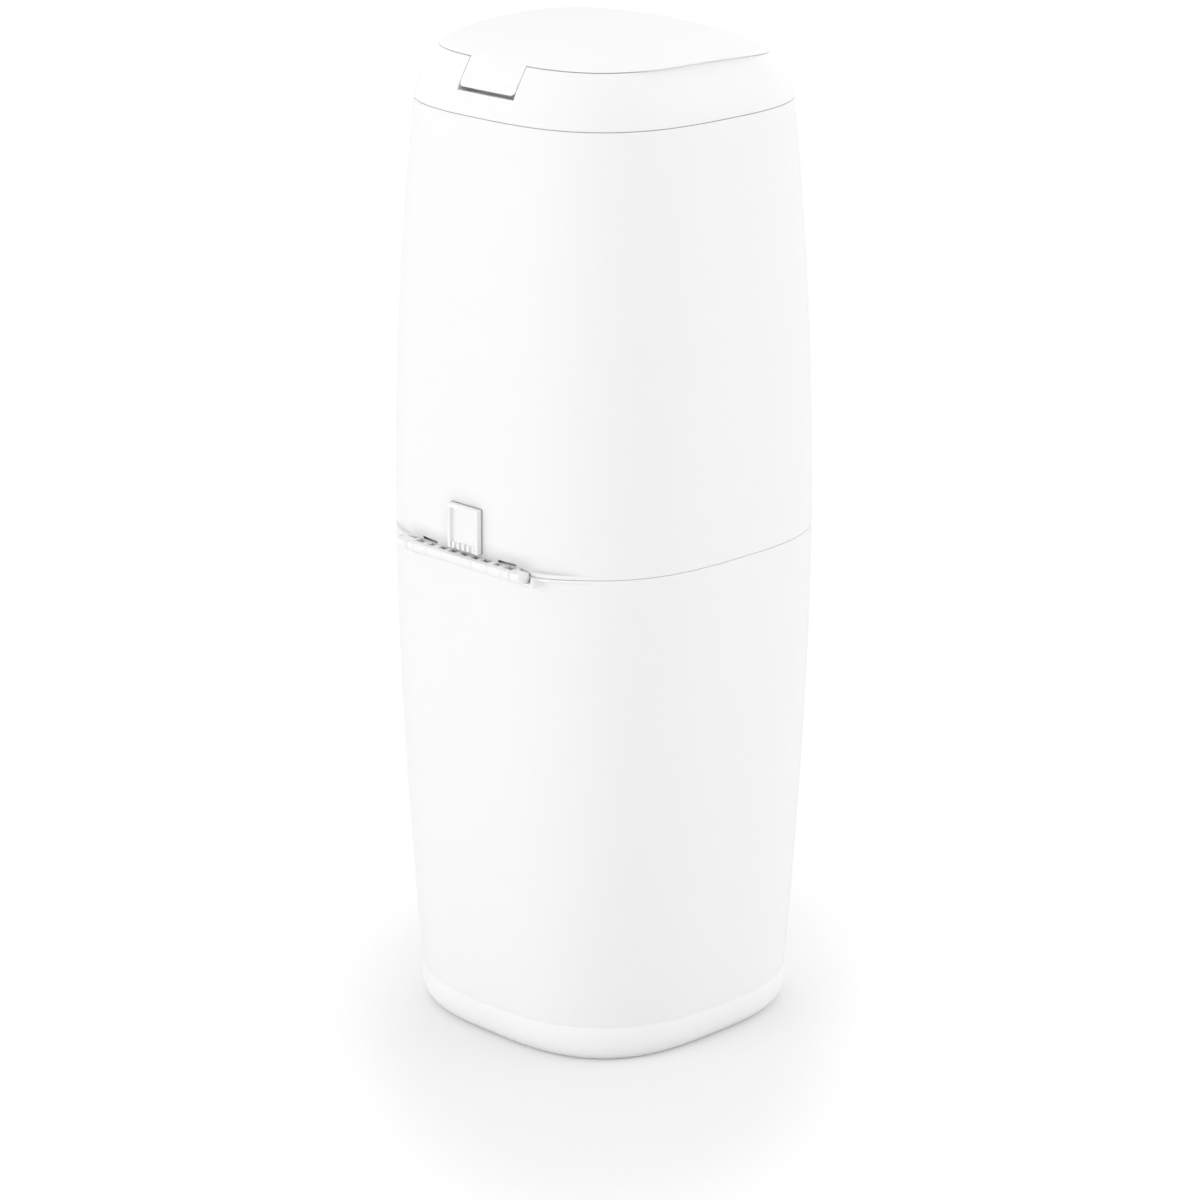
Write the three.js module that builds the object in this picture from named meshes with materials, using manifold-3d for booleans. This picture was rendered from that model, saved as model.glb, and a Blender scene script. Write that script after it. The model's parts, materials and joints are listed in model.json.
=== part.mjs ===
// Tall nappy bin: a lower bucket, an upper half that tips back on a rear hinge,
// a domed lid over a refill cassette, and two sprung jaws that shut the throat.
// Millimetres, +Z up, origin on the floor under the middle of the body, rear at +Y.

import * as THREE from "three";
import { mergeVertices } from "three/addons/utils/BufferGeometryUtils.js";
import Module from "manifold-3d";

const wasm = await Module();
wasm.setup();

// Driving sizes of the whole body
const shoulderHeight = 560;
const splitHeight = 304.5;
const bandHeight = 23.6;
const waistHalf = 111.4;
const footHalf = 88.7;
const collarRise = 30.4;
const collarLean = 15;
const crownRise = 16;
const frontDip = 10.6;
const dipStart = 17.6;
const dipRun = 100;
const shellWall = 2.6;
const trimWall = 2.4;
const mergeTolerance = 1e-4;

// Half width up the body, as a cubic in the height above half the shoulder height
const swellShares = [1, 0.01056, -0.1039, -0.01842];
const collarCurve = 1.387;
const crownUpCurve = 1.244;
const crownOutCurve = 3.135;

// Power of the rounded square seen from above: 2 is a circle, more is squarer
const footPower = 2.97;
const bandPower = 2.63;
const splitPower = 2.873;
const shoulderPower = 2.876;
const lidLinePower = 3.13;
const crownPower = 2.42;
const corePower = 4.5;

// Clearances
const seam = 0.4;
const seat = 0.3;
const overrun = 5;

// Steps round the outer pieces, the inner pieces and the small round pieces
const outerSteps = 40;
const coreSteps = 32;
const roundSteps = 16;
const pinSteps = 12;

// Bucket
const spigotInset = 2.7;
const bucketUnder = 6.5;
const bucketFloor = 2.8;
const bandWall = 3.7;
const lipGap = 0.8;
const lipWall = 1.6;
const lipHeight = 5.5;
const lipRoot = 8;
const lipBlend = 5;

// Base band and its pads
const footClear = 0.8;
const footRim = 4.7;
const flangeUnder = 3.8;
const flangeInnerHalf = 60;
const padRadius = 9;

// Rear hinge between the halves
const hingeRadius = 4.3;
const hingeProud = 3.8;
const barrelHalf = 43.3;
const lugWidth = 8.4;
const hingePinRadius = 1.8;
const grooveWidth = 0.5;
const grooveDepth = 0.35;
const grooveShares = [0.293, 0.585, 0.855];
const webShares = [[0.06, 0.159], [0.275, 0.351], [0.485, 0.591], [0.688, 0.797]];
const webRise = 4.5;
const endWebWidth = 2.4;
const lugRoot = 8;
const lugFootDrop = 8;
const lugToeShares = [0.6, 0.8];
const hookWidth = 5;
const hookWall = 2;
const hookDrop = 5.5;
const hookSetback = 1.7;

// Lips of both rims beside the hinge
const flareReach = 4.5;
const flareGap = 0.7;
const flareRise = 4;
const flareRun = 35;
const flareHeight = 3.8;
const flareBlend = 1.8;

// Slots in the upper shell over the barrel
const slotRise = 5.9;
const slotHeight = 1.4;
const slotShares = [0.594, 0.908];

// Stop frame over the barrel
const frameRise = 31.2;
const frameLeg = 2.3;
const frameProud = 3.6;
const framePlate = 1;
const combTeeth = 5;
const toothWidth = 1.3;
const toothHeight = 6;
const toothProud = 1.9;

// Ledge in the upper shell that carries the cassette tray
const ledgeDepth = 4.2;
const ledgeHeight = 3;

// Collar
const skirtDepth = 3.7;
const skirtGap = 0.7;
const rimWidth = 3.9;
const rimStep = 2;
const mouthClear = 2.5;
const mouthDrop = 6;
const scoopDepth = 2.5;
const scoopFront = -50;
const scoopRear = 60;
const scoopBlend = 22;
const riseShares = [0, 0.3, 0.55, 0.8, 1];
const scoopShares = [0, 0, 0.25, 0.75, 1];
const innerRiseShares = [0.7, 0.35, 0];

// Lid hinge, under the tongue
const lidPivotInset = 4.5;
const lidPivotDrop = 12.4;
const lidLugRadius = 4;
const lidPinRadius = 1.6;
const tongueHalf = 22.5;
const tongueDrop = 15.6;
const tongueWall = 2.5;
const tongueBendShare = 0.6;
const tongueSideGap = 0.6;
const tongueTipGap = 2.3;
const pocketSide = 3;
const pocketFront = 6.2;
const pocketDrop = 7.8;

// Lid, with the liner and the seal inside it
const crownShares = [0.985, 0.94, 0.85, 0.7, 0.5, 0.25, 0.06];
const crownInnerShares = [0.985, 0.9, 0.7, 0.4, 0.06];
const linerThick = 1.9;
const linerGap = 0.8;
const linerBevel = 2.9;
const linerShares = [0.12, 0.5];
const sealLap = 4.5;
const sealWidth = 3;

// Cassette tray
const trayMargin = 29.45;
const trayFlangeThick = 2.4;
const trayDepth = 35.8;
const trayFloor = 3.8;
const throatInset = 23.5;
const throatLip = 0.8;

// Refill cassette
const cassetteGap = 1.5;
const coreGap = 0.5;
const cassetteHeight = 38.3;
const cassetteWall = 1.8;
const coverThick = 3.2;
const coverSkirt = 3.3;
const filmSlot = 4;
const filmDrop = 4.2;
const filmGap = 0.8;

// Jaw housing and jaws
const bayEndGap = 2.1;
const baySideGap = 1.3;
const bayHeadroom = 2;
const jawLedge = 2.5;
const jawGap = 1.2;
const jawCover = 1;
const jawSideCover = 0.5;
const jawNose = 5.6;
const jawShoulder = 12;
const jawNoseRun = 7;
const jawHeel = 17.5;
const jawTravel = 38;
const lipThick = 1;
const lipTrim = 1.4;
const earX = 12;
const earThick = 3;
const earWidth = 7.8;
const jawSpringRadius = 2.8;
const jawSpringWire = 0.5;
const jawSpringCurls = 5;
const jawSpringRise = 6.4;
const tabHalf = 12;
const tabReach = 10;
const screwX = 30;
const screwInset = 5;
const screwRadius = 1.4;
const screwHeadRadius = 3;
const screwHead = 2;
const screwDepth = 5.8;

// Film cutter under the jaw housing
const cutterSetback = 6;
const cutterLength = 32;
const cutterWidth = 18;
const cutterHeight = 26;
const cutterSlot = 5.4;
const cutterSlotDepth = 20;
const bladeLength = 16;
const bladeHeight = 9;
const bladeThick = 0.8;

// Release button, latch and catch at the front
const buttonHalf = 22;
const buttonHeight = 15.4;
const buttonCorner = 5;
const buttonRise = 25.5;
const buttonProud = 2;
const buttonEdge = 2.6;
const buttonFlange = 2;
const buttonHoleGap = 0.4;
const stemRadius = 2.2;
const latchPivotRise = 41.5;
const latchSetback = 14;
const latchThick = 2.4;
const latchHalf = 10;
const latchBossRadius = 3.2;
const latchBossHalf = 12;
const latchPinRadius = 1.5;
const latchDrop = 8.5;
const noseHeight = 3;
const noseGap = 0.6;
const bracketSideGap = 2.4;
const bracketBase = 9.5;
const bracketHeadroom = 1.9;
const latchSwing = 8.6;
const buttonSpringX = 17;
const buttonSpringRadius = 3.4;
const buttonSpringWire = 0.5;
const buttonSpringCurls = 4;
const catchHalf = 14;
const catchThick = 3;
const catchReach = 4;
const catchGap = 0.5;

const cornerNames = [
  ["front_left", -1, -1],
  ["front_right", 1, -1],
  ["rear_left", -1, 1],
  ["rear_right", 1, 1],
];
const findings = [];

function mix(a, b, share) {
  return a + (b - a) * share;
}

function smooth(low, high, value) {
  const share = Math.min(1, Math.max(0, (value - low) / (high - low)));
  return share * share * (3 - 2 * share);
}

function bodyHalf(height) {
  const middle = shoulderHeight / 2;
  const rise = (height - middle) / middle;
  const share = swellShares.reduceRight((sum, part) => sum * rise + part, 0);
  return waistHalf * share;
}

function bodyPower(height) {
  if (height < splitHeight) {
    return mix(bandPower, splitPower, (height - bandHeight) / (splitHeight - bandHeight));
  }
  return mix(splitPower, shoulderPower, (height - splitHeight) / (shoulderHeight - splitHeight));
}

function bandOuterHalf(height) {
  const fall = 1 - height / bandHeight;
  return mix(footHalf, bodyHalf(bandHeight), Math.sqrt(1 - fall * fall));
}

function collarHalf(rise) {
  return bodyHalf(shoulderHeight) - collarLean * Math.pow(rise / collarRise, collarCurve);
}

// How far a rounded square reaches along its diagonal, as a share of its half width.
function cornerShare(power) {
  return Math.pow(0.5, 1 / power);
}

const lidLineHalf = collarHalf(collarRise);
const lidLineHeight = shoulderHeight + collarRise;

// One closed outline of a rounded square, counterclockwise seen from above.
function ring(half, power, height, steps, shape) {
  const points = [];
  for (let step = 0; step < steps; step += 1) {
    const turn = (2 * Math.PI * step) / steps;
    const across = Math.cos(turn);
    const along = Math.sin(turn);
    const x = half * Math.sign(across) * Math.pow(Math.abs(across), 2 / power);
    const y = half * Math.sign(along) * Math.pow(Math.abs(along), 2 / power);
    const point = new THREE.Vector3(x, y, height);
    if (shape) {
      shape(point);
    }
    points.push(point);
  }
  return points;
}

// Skins rings one after another: either the last joins the first, or both ends are capped.
function loft(rings, closed) {
  const steps = rings[0].length;
  const corners = rings.flat();
  const faces = [];
  const spans = closed ? rings.length : rings.length - 1;
  for (let row = 0; row < spans; row += 1) {
    const low = row * steps;
    const high = ((row + 1) % rings.length) * steps;
    for (let step = 0; step < steps; step += 1) {
      const next = (step + 1) % steps;
      faces.push(low + step, low + next, high + next);
      faces.push(low + step, high + next, high + step);
    }
  }
  if (!closed) {
    const last = (rings.length - 1) * steps;
    const bottom = corners.push(middleOf(rings[0])) - 1;
    const top = corners.push(middleOf(rings[rings.length - 1])) - 1;
    for (let step = 0; step < steps; step += 1) {
      const next = (step + 1) % steps;
      faces.push(bottom, next, step);
      faces.push(top, last + step, last + next);
    }
  }
  return meshGeometry(corners, faces);
}

function middleOf(points) {
  const sum = new THREE.Vector3();
  points.forEach((point) => sum.add(point));
  return sum.divideScalar(points.length);
}

function meshGeometry(corners, faces) {
  const geometry = new THREE.BufferGeometry();
  const flat = corners.flatMap((corner) => [corner.x, corner.y, corner.z]);
  geometry.setAttribute("position", new THREE.Float32BufferAttribute(flat, 3));
  geometry.setIndex(faces);
  geometry.computeVertexNormals();
  return geometry;
}

function solidOf(geometry) {
  const bare = geometry.clone();
  bare.deleteAttribute("normal");
  bare.deleteAttribute("uv");
  const merged = mergeVertices(bare, mergeTolerance);
  const vertProperties = new Float32Array(merged.attributes.position.array);
  const triVerts = new Uint32Array(merged.index.array);
  return new wasm.Manifold(new wasm.Mesh({ numProp: 3, vertProperties, triVerts }));
}

function geometryOf(solid) {
  const mesh = solid.getMesh();
  const geometry = new THREE.BufferGeometry();
  geometry.setAttribute("position", new THREE.BufferAttribute(mesh.vertProperties, 3));
  geometry.setIndex(new THREE.BufferAttribute(mesh.triVerts, 1));
  const sharp = geometry.toNonIndexed();
  sharp.computeVertexNormals();
  return sharp;
}

function joined(...solids) {
  return solids.reduce((whole, solid) => whole.add(solid));
}

function cutBy(solid, ...tools) {
  return tools.reduce((rest, tool) => rest.subtract(tool), solid);
}

// Solid between two values on each axis.
function block(xs, ys, zs) {
  const geometry = new THREE.BoxGeometry(xs[1] - xs[0], ys[1] - ys[0], zs[1] - zs[0]);
  geometry.translate((xs[0] + xs[1]) / 2, (ys[0] + ys[1]) / 2, (zs[0] + zs[1]) / 2);
  return solidOf(geometry);
}

// Round bar along X.
function barX(radius, xs, y, z, steps) {
  const geometry = new THREE.CylinderGeometry(radius, radius, xs[1] - xs[0], steps);
  geometry.rotateZ(-Math.PI / 2);
  geometry.translate((xs[0] + xs[1]) / 2, y, z);
  return solidOf(geometry);
}

// Round bar along Y.
function barY(radius, x, ys, z, steps) {
  const geometry = new THREE.CylinderGeometry(radius, radius, ys[1] - ys[0], steps);
  geometry.translate(x, (ys[0] + ys[1]) / 2, z);
  return solidOf(geometry);
}

// Round bar along Z.
function barZ(radius, x, y, zs, steps) {
  const geometry = new THREE.CylinderGeometry(radius, radius, zs[1] - zs[0], steps);
  geometry.rotateX(Math.PI / 2);
  geometry.translate(x, y, (zs[0] + zs[1]) / 2);
  return solidOf(geometry);
}

// Prism along X of an outline given as [y, z] pairs.
function prismX(outline, xs) {
  const shape = new THREE.Shape(outline.map(([y, z]) => new THREE.Vector2(y, z)));
  const geometry = new THREE.ExtrudeGeometry(shape, { depth: xs[1] - xs[0], bevelEnabled: false });
  const turn = new THREE.Matrix4().set(0, 0, 1, xs[0], 1, 0, 0, 0, 0, 1, 0, 0, 0, 0, 0, 1);
  geometry.applyMatrix4(turn);
  return solidOf(geometry);
}

// Prism along Y of a shape drawn in X and Z.
function prismY(shape, ys) {
  const settings = { depth: ys[1] - ys[0], bevelEnabled: false, curveSegments: 4 };
  const geometry = new THREE.ExtrudeGeometry(shape, settings);
  const turn = new THREE.Matrix4().set(1, 0, 0, 0, 0, 0, -1, ys[1], 0, 1, 0, 0, 0, 0, 0, 1);
  geometry.applyMatrix4(turn);
  return solidOf(geometry);
}

function roundedShape(half, height, corner, middle) {
  const shape = new THREE.Shape();
  const low = middle - height / 2;
  const high = middle + height / 2;
  shape.absarc(half - corner, low + corner, corner, -Math.PI / 2, 0);
  shape.absarc(half - corner, high - corner, corner, 0, Math.PI / 2);
  shape.absarc(corner - half, high - corner, corner, Math.PI / 2, Math.PI);
  shape.absarc(corner - half, low + corner, corner, Math.PI, (3 * Math.PI) / 2);
  shape.closePath();
  return shape;
}

// Places and sizes that several pieces share: the foot
const bucketFootHalf = bandOuterHalf(bucketUnder) - bandWall - seat;
const rimInner = footHalf - footRim;
const flangeCorner = flangeInnerHalf * cornerShare(bandPower);
const padOffset = (flangeCorner + rimInner * cornerShare(footPower)) / 2;

// The rear hinge
const rearFace = bodyHalf(splitHeight);
const hingeY = rearFace + hingeProud;
const hingeZ = splitHeight;
const lugInner = barrelHalf + seat;
const lugOuter = lugInner + lugWidth;
const flareRoot = barrelHalf + flareGap;
const flareInner = lugOuter + flareRise;
const flareOuter = lugOuter + flareRun;
const frameHalf = barrelHalf * grooveShares[0];
const frameTop = hingeZ + frameRise;

// The tray, the cassette and the mouth above them
const trayHalf = bodyHalf(shoulderHeight) - trayMargin;
const throatHalf = trayHalf - throatInset;
const trayTop = shoulderHeight + seam / 2 - skirtDepth - seat;
const trayFlangeLow = trayTop - trayFlangeThick;
const ledgeTop = trayFlangeLow - seat;
const trayFloorTop = trayTop - trayDepth;
const trayFloorLow = trayFloorTop - trayFloor;
const mouthHalf = trayHalf + mouthClear;
const cassetteHalf = trayHalf - cassetteGap;
const cassetteCoreHalf = throatHalf + coreGap;
const cassetteLow = trayFloorTop + seat;
const coverLow = cassetteLow + cassetteHeight + seat;
const coreTop = coverLow - coverSkirt - filmSlot;

// The lid's hinge and its underside
const lidPivotZ = lidLineHeight - lidPivotDrop;
const lidPivotY = collarHalf(lidPivotZ - shoulderHeight) - lidPivotInset;
const tongueTip = lidLineHeight - tongueDrop;
const mouthStepTop = lidLineHeight - seam / 2 - rimStep;
const sealHalf = mouthHalf + sealLap;

// The jaws and their housing
const jawReach = throatHalf + jawCover;
const jawHalfY = throatHalf + jawSideCover;
const housingTop = trayFloorLow - seat;
const bayTop = housingTop - trimWall;
const jawLow = bayTop - bayHeadroom - jawHeel;
const housingLow = jawLow - seat - trimWall;
const bayHalfX = jawReach + jawTravel + bayEndGap;
const bayHalfY = jawHalfY + earWidth + baySideGap;
const housingHalfX = bayHalfX + trimWall;
const housingHalfY = bayHalfY + trimWall;
const screwY = housingHalfY + screwInset;
const screwUnder = bayTop - seat;
const cutterX = throatHalf + cutterSetback;

// The button, the latch and the catch
const buttonZ = splitHeight + buttonRise;
const frontInside = -(bodyHalf(buttonZ) - shellWall);
const buttonFace = -(bodyHalf(buttonZ) + buttonProud);
const flangeFront = frontInside + seat;
const flangeBack = flangeFront + buttonFlange;
const latchBack = frontInside + latchSetback;
const latchFront = latchBack - latchThick;
const latchPivotY = (latchFront + latchBack) / 2;
const latchPivotZ = splitHeight + latchPivotRise;
const bracketBack = latchBack + latchSwing + trimWall;
const bracketHalf = buttonHalf + buttonEdge + bracketSideGap + trimWall;
const bracketTop = latchPivotZ + latchBossRadius + bracketHeadroom + trimWall;
const lipInnerInset = shellWall + lipGap + lipWall;
const catchFace = -(bodyHalf(splitHeight - seam / 2) - lipInnerInset - seat);
const catchEdge = catchFace + catchReach;
const latchLow = splitHeight - latchDrop;

function hingeRoom(half) {
  return barX(hingeRadius + seat, [-half, half], hingeY, hingeZ, roundSteps);
}

// How far the rims stand out beside the hinge, at a point on the rear.
function flare(point, share) {
  if (point.y > 0) {
    const rise = smooth(flareRoot, flareInner, Math.abs(point.x));
    const fade = 1 - smooth(flareInner, flareOuter, Math.abs(point.x));
    point.y += flareReach * share * rise * fade;
  }
}

function bodyRing(height, inset, flareShare) {
  const shape = (point) => flare(point, flareShare);
  return ring(bodyHalf(height) - inset, bodyPower(height), height, outerSteps, shape);
}

function heightsBetween(low, high, count) {
  const heights = [];
  for (let step = 0; step <= count; step += 1) {
    heights.push(mix(low, high, step / count));
  }
  return heights;
}

// Outer envelope of the body, grown or shrunk, to seat pieces on the curved wall.
function bodyEnvelope(low, high, growth, flareShare) {
  const rings = heightsBetween(low, high, 2).map((height) => bodyRing(height, -growth, flareShare));
  return solidOf(loft(rings, false));
}

function lowerShell() {
  const rim = splitHeight - seam / 2;
  const lipInset = shellWall + lipGap;
  const spigotTop = bandHeight + seam / 2;
  const spigotPower = bodyPower(bandHeight);
  const spigotHalf = bodyHalf(bandHeight) - spigotInset;
  const floorTop = bucketUnder + bucketFloor;
  const innerFootHalf = bucketFootHalf - shellWall;
  const rings = [
    ring(bucketFootHalf, spigotPower, bucketUnder, outerSteps),
    ring(spigotHalf, spigotPower, spigotTop, outerSteps),
  ];
  const flareLow = rim - flareHeight;
  heightsBetween(spigotTop, flareLow - flareBlend, 4).forEach((height) => {
    rings.push(bodyRing(height, 0, 0));
  });
  rings.push(bodyRing(flareLow, 0, 1));
  rings.push(bodyRing(rim, 0, 1));
  rings.push(bodyRing(rim, lipInset, 0));
  rings.push(ringAt(rim + lipHeight, lipInset));
  rings.push(ringAt(rim + lipHeight, lipInnerInset));
  rings.push(bodyRing(rim - lipRoot, lipInnerInset, 0));
  heightsBetween(rim - lipRoot - lipBlend, spigotTop, 4).forEach((height) => {
    rings.push(bodyRing(height, shellWall, 0));
  });
  rings.push(ring(spigotHalf - shellWall, spigotPower, spigotTop - shellWall, outerSteps));
  rings.push(ring(innerFootHalf, spigotPower, floorTop, outerSteps));
  const tub = solidOf(loft(rings, false));
  const bare = cutBy(tub, hingeRoom(lugOuter + seat));
  return joined(bare, lowerLug(1), lowerLug(-1));
}

// A ring that stands straight on the rim's outline.
function ringAt(height, inset) {
  const rim = splitHeight - seam / 2;
  return ring(bodyHalf(rim) - inset, bodyPower(rim), height, outerSteps);
}

function lowerLug(side) {
  const xs = side > 0 ? [lugInner, lugOuter] : [-lugOuter, -lugInner];
  const footLow = hingeZ - lugFootDrop;
  const footTop = hingeZ - seam;
  const footOutline = [
    [rearFace - lugRoot, footLow],
    [rearFace - shellWall, footLow],
    [hingeY + hingeRadius * lugToeShares[0], hingeZ - hingeRadius * lugToeShares[1]],
    [hingeY, hingeZ],
    [hingeY - hingeRadius, footTop],
    [rearFace - lugRoot, footTop],
  ];
  const knuckle = barX(hingeRadius, xs, hingeY, hingeZ, roundSteps);
  const foot = prismX(footOutline, xs);
  const hookInner = lugOuter - hookWall;
  const hookOuter = lugOuter + hookWidth;
  const hookXs = side > 0 ? [hookInner, hookOuter] : [-hookOuter, -hookInner];
  const riserXs = side > 0 ? [hookOuter - hookWall, hookOuter] : [-hookOuter, hookWall - hookOuter];
  const hookYs = [rearFace - lugRoot, hingeY - hookSetback];
  const shelf = block(hookXs, hookYs, [hingeZ - hookDrop, hingeZ - hookDrop + hookWall]);
  const riser = block(riserXs, hookYs, [hingeZ - hookDrop, hingeZ - seam]);
  const hollow = bodyEnvelope(footLow - overrun, hingeZ + hingeRadius, -shellWall, 0);
  const boreXs = [xs[0] - overrun, xs[1] + overrun];
  const bore = barX(hingePinRadius + seat, boreXs, hingeY, hingeZ, pinSteps);
  return cutBy(joined(knuckle, foot, shelf, riser), hollow, bore);
}

function upperShell() {
  const rim = splitHeight + seam / 2;
  const top = shoulderHeight - seam / 2;
  const flareHigh = rim + flareHeight;
  const ledgeInset = shellWall + ledgeDepth;
  const rings = [bodyRing(rim, 0, 1), bodyRing(flareHigh, 0, 1)];
  heightsBetween(flareHigh + flareBlend, top, 4).forEach((height) => {
    rings.push(bodyRing(height, 0, 0));
  });
  rings.push(bodyRing(top, shellWall, 0));
  rings.push(bodyRing(ledgeTop, shellWall, 0));
  rings.push(bodyRing(ledgeTop, ledgeInset, 0));
  rings.push(bodyRing(ledgeTop - ledgeHeight, ledgeInset, 0));
  rings.push(bodyRing(ledgeTop - ledgeHeight - ledgeDepth, shellWall, 0));
  const tubeTop = ledgeTop - ledgeHeight - ledgeDepth;
  heightsBetween(mix(rim, tubeTop, 3 / 4), rim, 3).forEach((height) => {
    rings.push(bodyRing(height, shellWall, 0));
  });
  const tube = solidOf(loft(rings, true));
  const slotZ = [hingeZ + slotRise, hingeZ + slotRise + slotHeight];
  const slotYs = [rearFace - shellWall - overrun, rearFace + overrun];
  const [slotInner, slotOuter] = slotShares.map((share) => barrelHalf * share);
  const slots = [1, -1].map((side) => {
    const xs = side > 0 ? [slotInner, slotOuter] : [-slotOuter, -slotInner];
    return block(xs, slotYs, slotZ);
  });
  const hole = roundedShape(
    buttonHalf + buttonHoleGap,
    buttonHeight + 2 * buttonHoleGap,
    buttonCorner + buttonHoleGap,
    buttonZ,
  );
  const window = prismY(hole, [-waistHalf - overrun, frontInside + overrun]);
  return cutBy(tube, hingeRoom(lugOuter + seat), window, ...slots);
}

function baseBand() {
  const top = bandHeight - seam / 2;
  const power = (height) => mix(footPower, bandPower, height / bandHeight);
  const outer = heightsBetween(0, 1, 4).map((share) => mix(footClear, top, share * share));
  const rings = outer.map((height) => ring(bandOuterHalf(height), power(height), height, outerSteps));
  const sleeveTop = bodyHalf(bandHeight) - spigotInset + seat;
  const sleeveFoot = bucketFootHalf + seat;
  const flangeTop = bucketUnder - seat;
  rings.push(ring(sleeveTop, bandPower, top, outerSteps));
  rings.push(ring(sleeveFoot, bandPower, flangeTop, outerSteps));
  rings.push(ring(flangeInnerHalf, bandPower, flangeTop, outerSteps));
  rings.push(ring(flangeInnerHalf, bandPower, flangeUnder, outerSteps));
  rings.push(ring(rimInner, footPower, flangeUnder, outerSteps));
  rings.push(ring(rimInner, footPower, footClear, outerSteps));
  return solidOf(loft(rings, true));
}

function basePad() {
  return barZ(padRadius, 0, 0, [0, flangeUnder - seat], roundSteps);
}

function hingeBarrel() {
  const span = [-barrelHalf, barrelHalf];
  let solid = barX(hingeRadius, span, hingeY, hingeZ, roundSteps);
  const webYs = [rearFace - overrun, hingeY];
  const webZs = [hingeZ, hingeZ + webRise];
  const webs = webShares.map((shares) => shares.map((share) => barrelHalf * share));
  webs.push([barrelHalf - endWebWidth, barrelHalf]);
  webs.forEach(([inner, outer]) => {
    solid = joined(solid, block([inner, outer], webYs, webZs), block([-outer, -inner], webYs, webZs));
  });
  const behindYs = [hingeY - overrun - hingeRadius, hingeY];
  const behindZs = [hingeZ - overrun * 2, hingeZ + overrun * 2];
  grooveShares.flatMap((share) => [-share, share]).forEach((share) => {
    const x = barrelHalf * share;
    const xs = [x - grooveWidth / 2, x + grooveWidth / 2];
    const sleeve = barX(hingeRadius + overrun, xs, hingeY, hingeZ, roundSteps);
    const core = barX(hingeRadius - grooveDepth, xs, hingeY, hingeZ, roundSteps);
    solid = cutBy(solid, cutBy(sleeve, core, block(xs, behindYs, behindZs)));
  });
  const wall = bodyEnvelope(splitHeight - overrun, splitHeight + overrun * 2, seat, 1);
  const boreXs = [-barrelHalf - overrun, barrelHalf + overrun];
  const bore = barX(hingePinRadius + seat, boreXs, hingeY, hingeZ, pinSteps);
  return cutBy(solid, wall, bore);
}

function hingePin() {
  return barX(hingePinRadius, [-lugOuter, lugOuter], hingeY, hingeZ, pinSteps);
}

function stopFrame() {
  const bottom = hingeZ;
  const outerY = rearFace + frameProud;
  const inner = frameHalf - frameLeg;
  const backY = rearFace - overrun;
  const plateY = rearFace + seat + framePlate;
  const body = block([-frameHalf, frameHalf], [backY, outerY], [bottom, frameTop]);
  const recessZs = [bottom - overrun, frameTop - frameLeg];
  const recess = block([-inner, inner], [plateY, outerY + overrun], recessZs);
  let solid = cutBy(body, recess);
  const pitch = (2 * inner) / combTeeth;
  const toothTop = hingeZ + hingeRadius + toothHeight;
  for (let tooth = 0; tooth < combTeeth; tooth += 1) {
    const middle = pitch * (tooth + 0.5) - inner;
    const xs = [middle - toothWidth / 2, middle + toothWidth / 2];
    solid = joined(solid, block(xs, [backY, plateY + toothProud], [bottom, toothTop]));
  }
  const wall = bodyEnvelope(splitHeight - overrun, frameTop + overrun, seat, 0);
  const webRoom = block(
    [-frameHalf - overrun, frameHalf + overrun],
    [backY, outerY + overrun],
    [bottom - overrun, hingeZ + webRise + seat],
  );
  return cutBy(solid, wall, webRoom, hingeRoom(barrelHalf));
}

function dip(point, height) {
  const share = (height - shoulderHeight) / (collarRise + crownRise);
  const run = Math.max(0, dipStart - point.y) / dipRun;
  point.z -= frontDip * share * run * run;
}

function scoop(point, depth) {
  const rear = 1 - smooth(scoopRear - scoopBlend, scoopRear, point.y);
  const front = smooth(scoopFront, scoopFront + scoopBlend, point.y);
  const side = smooth(mouthHalf / 2, mouthHalf, Math.abs(point.x));
  point.x -= Math.sign(point.x) * depth * rear * front * side;
}

function shoulderRing(half, height, depth) {
  const share = (height - shoulderHeight) / collarRise;
  const power = mix(shoulderPower, lidLinePower, Math.max(0, share));
  return ring(half, power, height, outerSteps, (point) => {
    scoop(point, depth);
    dip(point, Math.max(shoulderHeight, height));
  });
}

// Everything inside the collar's outer surface, to trim the tongue and the hinge pocket.
function shoulderEnvelope(growth) {
  const rings = heightsBetween(0, 1, 6).map((share) => {
    const rise = collarRise * share;
    return shoulderRing(collarHalf(rise) + growth, shoulderHeight + rise, 0);
  });
  rings.push(...crownRings(growth, 0, crownShares));
  return solidOf(loft(rings, false));
}

// Rings of the lid's dome from its edge to near its top.
function crownRings(growth, lift, outShares) {
  return outShares.map((share) => {
    const up = Math.pow(1 - Math.pow(share, crownOutCurve), 1 / crownUpCurve);
    const half = (lidLineHalf + growth) * share;
    const height = lidLineHeight + lift + (crownRise + growth) * up;
    const power = mix(lidLinePower, crownPower, up);
    return ring(half, power, height, outerSteps, (point) => dip(point, height));
  });
}

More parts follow.
